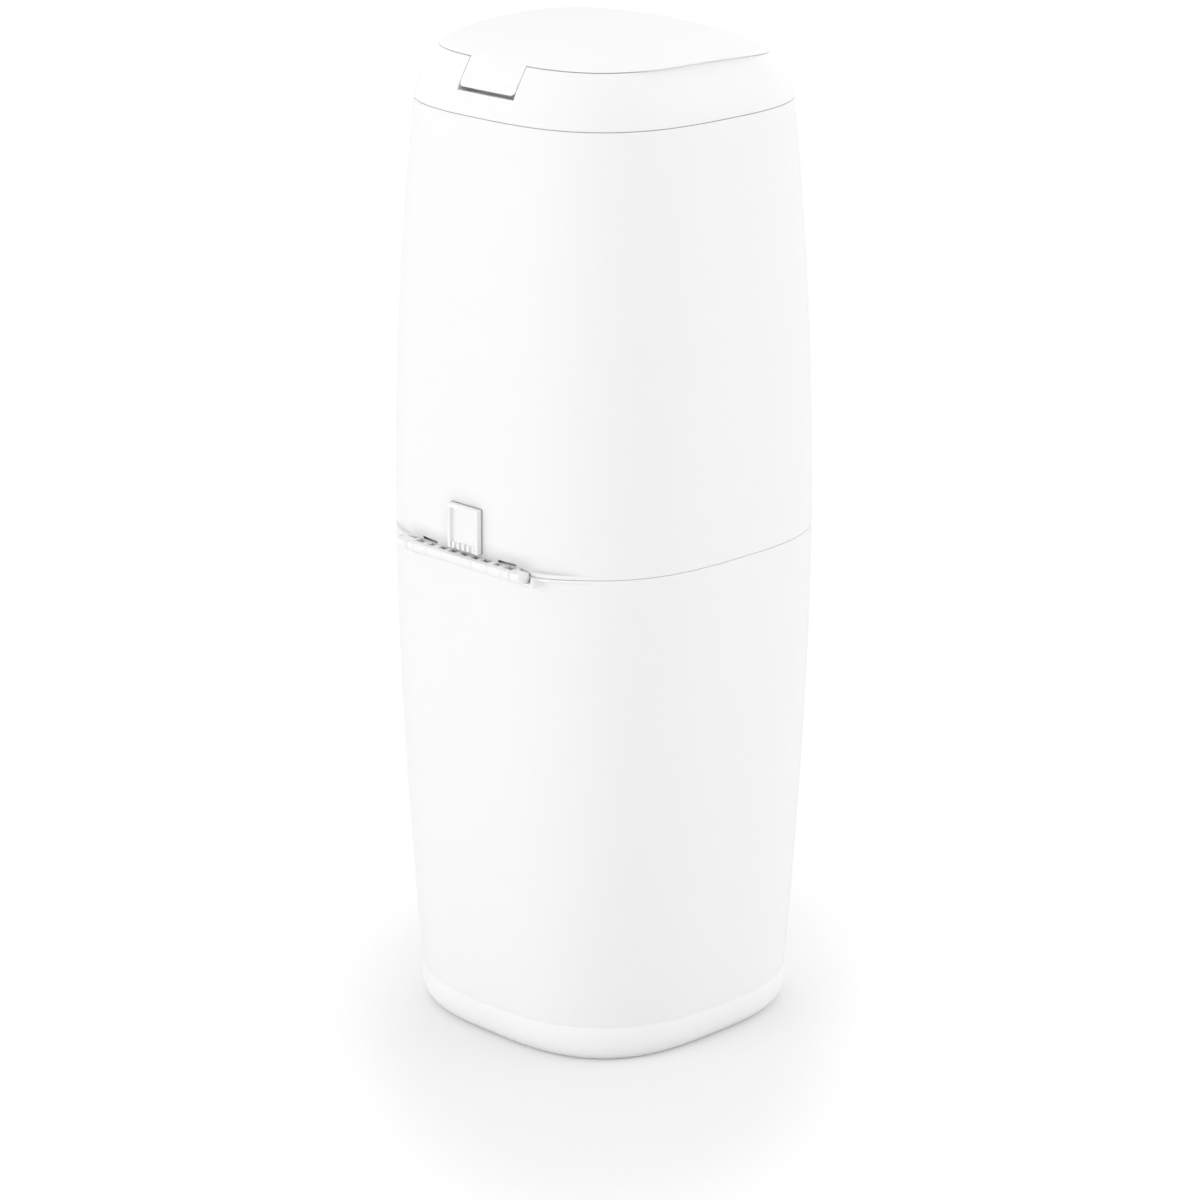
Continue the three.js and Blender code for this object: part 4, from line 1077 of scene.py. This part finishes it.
def make_upper_shell(edge):
    rim = SPLIT + SPLIT_SEAM / 2
    top = SHOULDER - SHOULDER_SEAM / 2
    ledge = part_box("cassette_tray")[1].z - TRIM_WALL - SEAT
    ledge_under = ledge - 0.003
    reach = 0.0042
    rows = [
        *rim_lip(rim, UPPER_LIP),
        *(body_row(z) for z in evenly(rim + PLAIN_START, top - 0.004, 28)),
        body_row(top, soft=SEAM_SOFT),
        body_row(top, SHELL_WALL, soft=edge),
        body_row(ledge, SHELL_WALL),
        body_row(ledge, SHELL_WALL + reach, soft=edge),
        body_row(ledge_under, SHELL_WALL + reach, soft=edge),
        body_row(ledge_under - reach, SHELL_WALL),
        *(body_row(z, SHELL_WALL) for z in evenly(ledge_under - 0.02, rim + 0.01, 20)),
        body_row(rim, SHELL_WALL, soft=edge),
    ]
    low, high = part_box("stop_frame")
    width, depth = 0.0004, 0.0012
    y = (REAR_FACE - depth, REAR_FACE + PAST)
    groove = block("groove", grown((low.x, high.x), width), y, (low.z, high.z + width))
    low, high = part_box("release_button")
    around = button_outline((low.z + high.z) / 2, gap=0.0004)
    through_wall = (-0.13, -0.09)
    window = prism("window", around, "Y", *through_wall)
    shell = wrapped("upper_shell_moulding", rows, True)
    cut(shell, hinge_room(LUG_OUTER + SEAT), *hinge_slots(), groove, window)
    # Its finish carries painted shade in its corners.
    place_piece(shell, "upper", ["upper_shell"], "shell_white", "upper_white_painted_shade")


def make_base(edge):
    top = BAND_TOP - BAND_SEAM / 2
    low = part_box("base_band")[0].z
    rows = []
    for share in evenly(0, 1, 14):
        z = mixed(low, top, share * share)
        fall = 1 - z / BAND_TOP
        half = mixed(FOOT_HALF, body_half(BAND_TOP), math.sqrt(1 - fall * fall))
        power = mixed(FOOT_POWER, BAND_POWER, z / BAND_TOP)
        rows.append(Row(half, z, power, soft=BAND_SEAM if share == 1 else 0.0))
    under = BUCKET_UNDER - SEAT
    flange = under - TRIM_WALL
    hole = 0.06
    inner = FOOT_HALF - 0.0047
    rows += [
        Row(body_half(BAND_TOP) - SPIGOT_INSET + SEAT, top, BAND_POWER),
        Row(BUCKET_FOOT + SEAT, under, BAND_POWER),
        Row(hole, under, BAND_POWER, soft=edge),
        Row(hole, flange, BAND_POWER, soft=edge),
        Row(inner, flange, FOOT_POWER),
        Row(inner, low, FOOT_POWER, soft=edge),
    ]
    band = wrapped("base_band_moulding", rows, True)
    # Its finish is the shell's white made paler: painted light from below.
    place_piece(band, "bucket", ["base_band"], "shell_white", "band_white_painted_light")

    names = nodes_named("base_pad_")
    low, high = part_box(names[0])
    radius = (high.x - low.x) / 2
    soft, dent = 0.0006, 0.0004
    profile = [
        (radius * 0.45, dent), (radius * 0.5, 0.0), (radius - soft, 0.0), (radius, soft),
        (radius, high.z),
    ]
    pads = set_out("base_pads", spots_under(names), turned("pad", profile, "Z", Vector()))
    place_piece(pads, "bucket", names, "pad_rubber")


def hinge_barrel(edge):
    """Grooved barrel of the rear hinge, cut open at the wall and stiffened by webs."""
    groove, depth = 0.00025, 0.00035
    floor = BARREL_RADIUS - depth
    profile = [(BARREL_RADIUS - edge, -BARREL_HALF), (BARREL_RADIUS, -BARREL_HALF + edge)]
    for x in sorted(way * share * BARREL_HALF for share in GROOVE_SHARES for way in (-1, 1)):
        profile += [
            (BARREL_RADIUS, x - groove), (floor, x - groove / 2),
            (floor, x + groove / 2), (BARREL_RADIUS, x + groove),
        ]
    profile += [(BARREL_RADIUS, BARREL_HALF - edge), (BARREL_RADIUS - edge, BARREL_HALF)]
    barrel = turned("hinge_barrel_moulding", profile, "X", HINGE)
    windows = block(
        "windows", (-BARREL_HALF, BARREL_HALF),
        (HINGE.y - BARREL_RADIUS - 0.001, HINGE.y - 0.0002), (HINGE.z - 0.0015, HINGE.z + 2 * PAST),
    )
    web_depth, web_height = 0.0058, 0.0045
    spots = []
    for first, last in WEB_SHARES:
        for way in (-1, 1):
            low, high = side_span(way, first * BARREL_HALF, last * BARREL_HALF)
            middle = ((low + high) / 2, HINGE.y - web_depth / 2, HINGE.z + web_height / 2)
            spots.append((middle, (high - low, web_depth, web_height)))
    join(cut(barrel, windows), set_out("webs", spots, block("web", UNIT, UNIT, UNIT)))
    return cut(
        barrel,
        envelope(SPLIT - 0.006, SPLIT + 0.012, SEAT / 2),
        pin_bore(grown((-BARREL_HALF, BARREL_HALF), PAST), PIN_RADIUS, HINGE),
        above_flat(BARREL_HALF + 2 * PAST),
    )


def stop_frame():
    """Plain frame over the barrel, with comb teeth in its open foot."""
    low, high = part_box("stop_frame")
    soft = 0.0005
    wall = 0.0023
    y = (REAR_FACE - PAST, high.y)
    body = block("stop_frame_moulding", (low.x, high.x), y, (low.z - 0.004, high.z), soft)
    inner = high.x - wall
    plate = REAR_FACE + SEAT + 0.001
    z = (low.z - 2 * PAST, high.z - wall)
    cut(body, block("recess", (-inner, inner), (plate, high.y + PAST), z, soft / 2))
    teeth = 5
    pitch = 2 * inner / teeth
    tooth_width, tooth_depth = 0.0021, 0.0036
    tooth_low, tooth_top = low.z - 0.002, low.z + 0.0036
    spots = []
    for tooth in range(teeth):
        middle = (pitch * (tooth + 0.5) - inner, plate + 0.0001, (tooth_low + tooth_top) / 2)
        spots.append((middle, (tooth_width, tooth_depth, tooth_top - tooth_low)))
    join(body, set_out("teeth", spots, block("tooth", UNIT, UNIT, UNIT)))
    x = grown((low.x, high.x), PAST)
    room = block("room", x, (REAR_FACE - 2 * PAST, high.y + 2 * PAST), (low.z - 2 * PAST, low.z))
    return cut(body, room, envelope(SPLIT - 0.006, high.z + 0.006, SEAT / 2))


def make_rear_hinge(edge):
    place_piece(hinge_barrel(edge), "upper", ["hinge_barrel"], "shell_white")
    end = LUG_OUTER - END_SKIN - SEAT
    pin = bar("rear_pin", PIN_RADIUS, -end, end, "X", HINGE, PIN_SOFT)
    place_piece(pin, "bucket", ["body_hinge_pin"], "pin_steel")
    place_piece(stop_frame(), "upper", ["stop_frame"], "shell_white")


def tongue_room():
    """The hollow in the collar that the tongue and its hinge lie in."""
    half = TONGUE_HALF + TONGUE_SIDE_GAP
    tip = TONGUE_TIP - TONGUE_TIP_GAP
    back = collar_half(tip) - TRIM_WALL
    roof = LID_LINE + PAST
    room = block("room", (-half, half), (POCKET_FRONT, back), (POCKET_FLOOR, roof))
    mouth = block("mouth", (-half, half), (POCKET_FRONT, WAIST_HALF), (tip, roof), 0.0002)
    return room, mouth


def make_collar(edge):
    low = SHOULDER + SHOULDER_SEAM / 2
    skirt = body_half(SHOULDER) - SHELL_WALL - SKIRT_GAP
    skirt_low = low - 0.0037
    rim_top = LID_LINE - SEAM / 2
    step = LID_LINE_HALF - 0.0039
    drop = MOUTH_STEP - 0.006
    rows = [collar_row(skirt, skirt_low, soft=edge), collar_row(skirt, low)]
    for share in evenly(0, 1, 22):
        z = mixed(low, rim_top, share)
        scoop = share * share * (3 - 2 * share)
        soft = {0: SEAM_SOFT, 1: edge}.get(share, 0.0)
        rows.append(collar_row(collar_half(z), z, scoop, soft))
    rows += [
        collar_row(step, rim_top, 1.0, edge / 2),
        collar_row(step, MOUTH_STEP, 1.0),
        collar_row(MOUTH_HALF, MOUTH_STEP, soft=edge),
        collar_row(MOUTH_HALF, drop, soft=edge),
        collar_row(MOUTH_HALF + TRIM_WALL, drop, soft=edge),
        collar_row(MOUTH_HALF + TRIM_WALL, MOUTH_STEP - TRIM_WALL),
        collar_row(step - 0.0025, MOUTH_STEP - TRIM_WALL),
    ]
    for share in evenly(0.7, 0, 8):
        z = mixed(SHOULDER, LID_LINE, share)
        inset = SHELL_WALL + SKIRT_GAP + TRIM_WALL * (1 - share)
        rows.append(collar_row(collar_half(z) - inset, z))
    rows.append(collar_row(skirt - TRIM_WALL, skirt_low, soft=edge))
    shell = wrapped("collar_moulding", rows, True)
    half = TONGUE_HALF + TONGUE_SIDE_GAP + 0.003
    y = (POCKET_FRONT - TRIM_WALL, WAIST_HALF)
    pocket = block("pocket", (-half, half), y, (POCKET_FLOOR - TRIM_WALL, MOUTH_STEP))
    join(shell, trim(pocket, lid_envelope(-TRIM_WALL / 2)))
    cut(shell, *tongue_room(), pin_bore(grown((-half, half), PAST), LID_PIN_RADIUS, LID_HINGE))
    place_piece(shell, "upper", ["collar"], "shell_white")


def lid_cover(edge):
    """Domed cover with the tongue over its rear edge and the lug that turns on the pin."""
    line = LID_LINE + SEAM / 2
    rows = crown_rows(-TRIM_WALL, SEAM / 2)[::-1]
    rows.append(lid_row(LID_LINE_HALF - TRIM_WALL, line, edge / 2))
    rows.append(lid_row(LID_LINE_HALF, line, edge))
    rows += crown_rows(0.0, SEAM / 2)
    cover = wrapped("lid_moulding", rows, False)
    outline = rounded_outline(TONGUE_HALF, TONGUE_TIP, line + 0.006, corner=0.003)
    tongue_front = 0.05
    tongue = trim(prism("tongue", outline, "Y", tongue_front, WAIST_HALF), lid_envelope(0.0))
    cut(tongue, lid_envelope(-TONGUE_WALL))
    lug_radius = 0.004
    lug = bar("lug", lug_radius, -TONGUE_HALF, TONGUE_HALF, "X", LID_HINGE, edge)
    join(cover, tongue, lug)
    return cut(cover, pin_bore(grown((-TONGUE_HALF, TONGUE_HALF), PAST), LID_PIN_RADIUS, LID_HINGE))


def make_lid(edge):
    place_piece(lid_cover(edge), "lid", ["lid_cover"], "shell_white")

    low = LID_LINE + SEAM
    high = low + 0.0019
    out = LID_LINE_HALF - TRIM_WALL - 0.0008
    rows = [lid_row(out * share, low) for share in (0.1, 0.3, 0.5, 0.7, 0.9)]
    rows.append(lid_row(out, low, edge / 2))
    rows += [lid_row(out * share, high) for share in (0.96, 0.8, 0.6, 0.4, 0.2, 0.05)]
    liner = wrapped("lid_liner_moulding", rows, False)
    place_piece(liner, "lid", ["lid_liner"], "inner_grey")

    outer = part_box("lid_seal")[1].x
    inner = outer - 0.003
    under = MOUTH_STEP + SEAT
    top = LID_LINE + SEAM - SEAT
    soft = 0.0007
    rows = [
        lid_row(outer, under, soft), lid_row(outer, top),
        lid_row(inner, top), lid_row(inner, under, soft),
    ]
    seal = wrapped("lid_seal_ring", rows, True)
    place_piece(seal, "lid", ["lid_seal"], "soft_rubber")

    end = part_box("lid_hinge_pin")[1].x
    pin = bar("lid_pin", LID_PIN_RADIUS, -end, end, "X", LID_HINGE, PIN_SOFT)
    place_piece(pin, "upper", ["lid_hinge_pin"], "pin_steel")


def make_tray(edge):
    """Tray with a flange on the upper shell's ledge, a floor and a short throat below it."""
    low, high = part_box("cassette_tray")
    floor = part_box("cassette_body")[0].z - SEAT
    under = floor - 0.0038
    flange = high.z - TRIM_WALL
    inner = 0.0695
    rows = [
        core_row(THROAT_HALF + TRIM_WALL, low.z, edge),
        core_row(THROAT_HALF + TRIM_WALL, under),
        core_row(inner + TRIM_WALL, under, 2 * FILLET),
        core_row(inner + TRIM_WALL, flange),
        Row(high.x, flange, SHOULDER_POWER, soft=edge),
        Row(high.x, high.z, SHOULDER_POWER, soft=edge),
        core_row(inner, high.z, FILLET),
        core_row(inner, floor),
        core_row(THROAT_HALF, floor, edge),
        core_row(THROAT_HALF, low.z, edge),
    ]
    tray = wrapped("cassette_tray_moulding", rows, True, CORE_STEPS)
    hole_radius = 0.0017
    for name in nodes_named("housing_screw_"):
        screw_low, screw_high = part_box(name)
        place = (screw_low + screw_high) / 2
        place.z = 0.0
        ends = (under - 0.002, screw_high.z + SEAT)
        cut(tray, bar("hole", hole_radius, *ends, "Z", place, sides=24))
    place_piece(tray, "upper", ["cassette_tray"], "inner_grey")


def make_cassette(sizes):
    edge = sizes.edge
    make_tray(edge)
    body_low, body_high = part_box("cassette_body")
    cover_low, cover_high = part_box("cassette_cover")
    film_low, film_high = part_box("film_pack")
    outer = body_high.x
    wall = 0.0018
    core = THROAT_HALF + 0.0005
    core_top = cover_low.z - 0.004
    outer_round, core_round = 0.0012, 0.0016
    rows = [
        core_row(outer, body_low.z, FILLET),
        core_row(outer, body_high.z, edge),
        core_row(outer - wall, body_high.z, edge),
        core_row(outer - wall, body_low.z + wall, FILLET),
        core_row(core + wall, body_low.z + wall, FILLET),
        core_row(core + wall, core_top, edge),
        core_row(core, core_top, edge),
        core_row(core, body_low.z, edge),
    ]
    body = wrapped("cassette_body_moulding", rows, True, CORE_STEPS)
    place_piece(body, "upper", ["cassette_body"], "cassette_blue")

    plate = body_high.z + SEAT
    rows = [
        core_row(outer, plate, edge / 2),
        core_row(outer, cover_high.z, outer_round),
        core_row(core, cover_high.z, core_round),
        core_row(core, cover_low.z, edge),
        core_row(core + wall, cover_low.z, edge),
        core_row(core + wall, plate),
    ]
    cover = wrapped("cassette_cover_moulding", rows, True, CORE_STEPS)
    place_piece(cover, "upper", ["cassette_cover"], "cassette_blue")

    depth = sizes.pleat
    outside = film_high.x - depth
    inside = core + wall + 0.0008 + depth
    layers = evenly(film_low.z, film_high.z, 24)
    tucked = 0.35
    rows = []
    for half, way, heights in ((outside, -1, layers), (inside, 1, layers[::-1])):
        for layer, z in enumerate(heights):
            tuck = depth * tucked * (layer % 2)
            rows.append(core_row(half + way * tuck, z, pleat=depth - tuck))
    film = wrapped("film_pleats", rows, True, 8 * sizes.pleats)
    place_piece(film, "upper", ["film_pack"], "film")


def coil(name, node, joint, axis, way, curls):
    """A spring in the place of a frame node, as long as the node."""
    low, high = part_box(node)
    size = high - low
    along = {"X": 0, "Y": 1}[axis]
    turn = {"X": (0.0, way * math.pi / 2, 0.0), "Y": (-way * math.pi / 2, 0.0, 0.0)}[axis]
    start = (low + high) / 2
    anchor = start.copy()
    start[along], anchor[along] = (low[along], high[along])[::way]
    obj = through(
        new_object(name, bpy.data.meshes.new(name)), "coil", Radius=size.z / 2 - WIRE,
        Length=size[along], Wire=WIRE, Curls=float(curls), Turn=turn, Place=start,
    )
    place_piece(obj, "upper", [node], "spring_steel")
    travel = joint_named(joint)["range_m"][1]
    1 - travel / size[along]
    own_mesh(obj)


def make_screws():
    """Four cross-head screws, their heads down, that hold the housing to the tray."""
    names = sorted(nodes_named("housing_screw_"))
    low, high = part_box(names[0])
    radius = (high.x - low.x) / 2
    length = high.z - low.z
    head = 0.002
    shank = 0.0014
    profile = [
        (radius * 0.72, 0.0), (radius * 0.93, 0.0004), (radius, 0.0011), (radius, head),
        (shank, head), (shank, length - 0.0006), (shank * 0.3, length),
    ]
    screw = turned("screw", profile, "Z", Vector(), sides=24)
    reach = radius * 0.62
    arm = 0.00035
    for x, y in ((reach, arm), (arm, reach)):
        cut(screw, block("cross", (-x, x), (-y, y), (-0.001, 0.0011)))
    screws = set_out("housing_screws", spots_under(names), screw)
    place_piece(screws, "upper", names, "pin_steel")


def make_jaws(edge):
    refine("jaw_housing", "jaw_housing_moulding", "upper", "inner_grey", edge / 2)
    make_screws()
    for side, way in (("left", -1), ("right", 1)):
        body = f"jaw_{side}"
        refine(body, f"{body}_moulding", body, "inner_grey", edge)
        refine(f"jaw_lip_{side}", f"jaw_lip_{side}_strip", body, "soft_rubber", edge / 2)
        for end in ("front", "rear"):
            names = f"jaw_coil_{side}_{end}", f"jaw_spring_{side}_{end}"
            coil(*names, f"jaw_{side}_slide", "X", way, JAW_CURLS)


def make_cutter(edge):
    refine("cutter_housing", "cutter_moulding", "upper", "inner_grey", edge)
    refine("cutter_blade", "cutter_blade_strip", "upper", "blade_steel", 0.0001)


def release_button():
    """Cap with a rounded face, a flange behind the wall and a stem to the hook."""
    low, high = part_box("release_button")
    middle = (low.z + high.z) / 2
    inside = -(body_half(middle) - SHELL_WALL)
    back = inside + SEAT + 0.002
    cap = prism("release_button_cap", button_outline(middle), "Y", low.y, back)
    round_edges(cap, radius=0.0011, segments=4, sharper_than=60)
    outline = rounded_outline(high.x, low.z, high.z, BUTTON_CORNER)
    flange = prism("flange", outline, "Y", inside - PAST, back)
    trim(flange, envelope(*grown((low.z, high.z), 2 * PAST), -SHELL_WALL - SEAT))
    place = Vector((0, 0, middle))
    stem_radius = 0.0022
    stem = bar("stem", stem_radius, back - 0.001, high.y, "Y", place, 0.0004, BORE_SIDES)
    return join(cap, flange, stem)


def make_latch(edge):
    place_piece(release_button(), "button", ["release_button"], "button_grey")
    refine("latch_bracket", "latch_bracket_moulding", "upper", "inner_grey", edge / 2)
    refine("latch_hook", "latch_hook_moulding", "latch", "inner_grey", edge / 2)
    refine("catch_plate", "catch_moulding", "bucket", "inner_grey", edge / 2)
    low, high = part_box("latch_pin")
    place = (low + high) / 2
    place.x = 0.0
    pin = bar("latch_pin_rod", PIN_RADIUS, low.x, high.x, "X", place, PIN_SOFT, BORE_SIDES)
    place_piece(pin, "upper", ["latch_pin"], "pin_steel")
    for side in ("left", "right"):
        coil(f"button_coil_{side}", f"button_spring_{side}", "button_press", "Y", 1, BUTTON_CURLS)


def white_where_seen(weave, light):
    """The light for the scene, and plain white for what the camera, gloss and glass see."""
    path = weave.node("ShaderNodeLightPath")
    seen = path.at_least(path.named("Is Glossy Ray")).at_least(path.named("Is Transmission Ray"))
    white = weave.node("ShaderNodeBackground", None, {"Color": WHITE, "Strength": 1.0})
    return weave.node("ShaderNodeMixShader", None, {0: seen, 1: light, 2: white})


def camera_sides():
    """Level directions towards the photograph's camera and to its left."""
    toward = CAMERA_PLACE - CAMERA_TARGET
    toward.z = 0.0
    toward.normalize()
    return toward, Vector((toward.y, -toward.x, 0.0))


def make_world(studio):
    world = bpy.data.worlds.new("studio")
    world.use_nodes = True
    bpy.context.scene.world = world
    weave = Weave(world.node_tree)
    where = weave.node("ShaderNodeTexCoord", None, None, "Generated")
    toward, leftward = camera_sides()

    def lobe(side, rise, power):
        """1 towards the middle of a soft light, and softly less away from it."""
        turn = math.radians(side)
        lift = math.radians(rise)
        level = toward * math.cos(turn) + leftward * math.sin(turn)
        direction = level * math.cos(lift) + Vector((0, 0, math.sin(lift)))
        return weave.along(where, direction).at_least(0.0) ** power

    strength = (
        lobe(*LEFT_LIGHT) * studio.left + lobe(*RIGHT_LIGHT) * studio.right
        + lobe(*BACK_LIGHT) * studio.back + studio.sky
    )
    light = weave.node("ShaderNodeBackground", None, {"Color": WHITE, "Strength": strength})
    weave.node("ShaderNodeOutputWorld", None, {"Surface": white_where_seen(weave, light)})


def make_floor(studio):
    """Pale floor with the bin's shadow. The glow that the camera alone sees rises away from the
    bin, which paints more shadow round it.
    """
    made = bmesh.new()
    bmesh.ops.create_grid(made, x_segments=2, y_segments=2, size=FLOOR_REACH)
    floor = filled("floor", made)
    material, weave = new_material("pale floor")
    path = weave.node("ShaderNodeLightPath")
    dust = grain(weave, scale=3.0)
    tone = weave.tint(dust, darker(studio.floor, 0.995), darker(studio.floor, 1.0))
    ground = weave.node("ShaderNodeBsdfDiffuse", None, {"Color": tone, "Roughness": 0.8})
    where = weave.node("ShaderNodeTexCoord", None, None, "Object")
    toward, leftward = camera_sides()
    # Painted shadow: the glow grows with distance from the bin, stretched towards the camera, so
    # the floor round the bin reads darker.
    deep = weave.along(where, toward * PAINTED_SHADOW_STRETCH)
    wide = weave.along(where, leftward)
    away = ((deep * deep + wide * wide) ** 0.5).smooth(*PAINTED_SHADOW_REACH)
    light = weave.tint(path * (away * studio.fade + studio.glow), BLACK, WHITE)
    glow = weave.node("ShaderNodeEmission", None, {"Color": light, "Strength": 1.0})
    both = weave.node("ShaderNodeAddShader", None, {0: ground, 1: glow})
    weave.node("ShaderNodeOutputMaterial", None, {"Surface": both})
    floor.data.materials.append(material)


def make_camera():
    data = bpy.data.cameras.new("camera")
    data.lens = CAMERA_LENS
    data.sensor_width = SENSOR_WIDTH
    data.clip_end = CAMERA_END
    camera = bpy.data.objects.new("camera", data)
    camera.location = CAMERA_PLACE
    camera.rotation_euler = (CAMERA_TARGET - CAMERA_PLACE).to_track_quat("-Z", "Y").to_euler()
    bpy.context.scene.collection.objects.link(camera)
    bpy.context.scene.camera = camera


class NAPPYBIN_OT_stage(bpy.types.Operator):
    """Camera, sky with its soft lights, and floor of the photograph"""

    bl_idname = "nappy_bin.stage"
    bl_label = "Stage"

    def execute(self, context):
        studio = context.scene.nappy_bin_studio
        make_camera()
        make_world(studio)
        make_floor(studio)
        context.scene.view_settings.view_transform = "Standard"
        return {"FINISHED"}


class NAPPYBIN_OT_finishes(bpy.types.Operator):
    """Plastics, rubber, film and steel"""

    bl_idname = "nappy_bin.finishes"
    bl_label = "Finishes"

    def execute(self, context):
        make_materials(context.scene.nappy_bin_finish)
        return {"FINISHED"}


class NAPPYBIN_OT_lower_shell(bpy.types.Operator):
    """Lower half of the body with its hinge ears"""

    bl_idname = "nappy_bin.lower_shell"
    bl_label = "Lower shell"

    def execute(self, context):
        make_lower_shell(context.scene.nappy_bin_sizes.edge)
        return {"FINISHED"}


class NAPPYBIN_OT_base(bpy.types.Operator):
    """Base band and its rubber pads"""

    bl_idname = "nappy_bin.base"
    bl_label = "Base"

    def execute(self, context):
        make_base(context.scene.nappy_bin_sizes.edge)
        return {"FINISHED"}


class NAPPYBIN_OT_upper_shell(bpy.types.Operator):
    """Upper half of the body"""

    bl_idname = "nappy_bin.upper_shell"
    bl_label = "Upper shell"

    def execute(self, context):
        make_upper_shell(context.scene.nappy_bin_sizes.edge)
        return {"FINISHED"}


class NAPPYBIN_OT_rear_hinge(bpy.types.Operator):
    """Barrel, pin and stop frame at the rear"""

    bl_idname = "nappy_bin.rear_hinge"
    bl_label = "Rear hinge"

    def execute(self, context):
        make_rear_hinge(context.scene.nappy_bin_sizes.edge)
        return {"FINISHED"}


class NAPPYBIN_OT_collar(bpy.types.Operator):
    """Collar round the mouth"""

    bl_idname = "nappy_bin.collar"
    bl_label = "Collar"

    def execute(self, context):
        make_collar(context.scene.nappy_bin_sizes.edge)
        return {"FINISHED"}


class NAPPYBIN_OT_lid(bpy.types.Operator):
    """Domed lid with its tongue, liner, seal and pin"""

    bl_idname = "nappy_bin.lid"
    bl_label = "Lid"

    def execute(self, context):
        make_lid(context.scene.nappy_bin_sizes.edge)
        return {"FINISHED"}


class NAPPYBIN_OT_cassette(bpy.types.Operator):
    """Tray, refill cassette and pleated film"""

    bl_idname = "nappy_bin.cassette"
    bl_label = "Cassette"

    def execute(self, context):
        make_cassette(context.scene.nappy_bin_sizes)
        return {"FINISHED"}


class NAPPYBIN_OT_jaws(bpy.types.Operator):
    """Jaw housing, screws, jaws, lips and springs"""

    bl_idname = "nappy_bin.jaws"
    bl_label = "Jaws"

    def execute(self, context):
        make_jaws(context.scene.nappy_bin_sizes.edge)
        return {"FINISHED"}


class NAPPYBIN_OT_cutter(bpy.types.Operator):
    """Film cutter and its blade"""

    bl_idname = "nappy_bin.cutter"
    bl_label = "Cutter"

    def execute(self, context):
        make_cutter(context.scene.nappy_bin_sizes.edge)
        return {"FINISHED"}


class NAPPYBIN_OT_latch(bpy.types.Operator):
    """Release button, hook, catch and springs at the front"""

    bl_idname = "nappy_bin.latch"
    bl_label = "Latch"

    def execute(self, context):
        make_latch(context.scene.nappy_bin_sizes.edge)
        return {"FINISHED"}


OPERATORS = (
    NAPPYBIN_OT_stage,
    NAPPYBIN_OT_finishes,
    NAPPYBIN_OT_lower_shell,
    NAPPYBIN_OT_base,
    NAPPYBIN_OT_upper_shell,
    NAPPYBIN_OT_rear_hinge,
    NAPPYBIN_OT_collar,
    NAPPYBIN_OT_lid,
    NAPPYBIN_OT_cassette,
    NAPPYBIN_OT_jaws,
    NAPPYBIN_OT_cutter,
    NAPPYBIN_OT_latch,
)


class NAPPYBIN_PT_panel(bpy.types.Panel):
    """Steps, sizes and colours of the nappy bin"""

    bl_idname = "NAPPYBIN_PT_panel"
    bl_label = "Nappy bin"
    bl_space_type = "VIEW_3D"
    bl_region_type = "UI"
    bl_category = "Nappy bin"

    def draw(self, context):
        for operator in OPERATORS:
            self.layout.operator(operator.bl_idname)
        for group in GROUPS:
            values = getattr(context.scene, group)
            for name in values.__annotations__:
                self.layout.prop(values, name)


GROUPS = {"nappy_bin_sizes": BinSizes, "nappy_bin_finish": BinFinish, "nappy_bin_studio": BinStudio}


def register():
    for cls in (*GROUPS.values(), *OPERATORS, NAPPYBIN_PT_panel):
        bpy.utils.register_class(cls)
    for name, group in GROUPS.items():
        setattr(bpy.types.Scene, name, PointerProperty(type=group))


def unregister():
    for name in GROUPS:
        delattr(bpy.types.Scene, name)
    for cls in (NAPPYBIN_PT_panel, *reversed(OPERATORS), *GROUPS.values()):
        bpy.utils.unregister_class(cls)


def main():
    register()
    for operator in OPERATORS:
        group, name = operator.bl_idname.split(".")
        getattr(getattr(bpy.ops, group), name)()


if __name__ == "__main__":
    main()
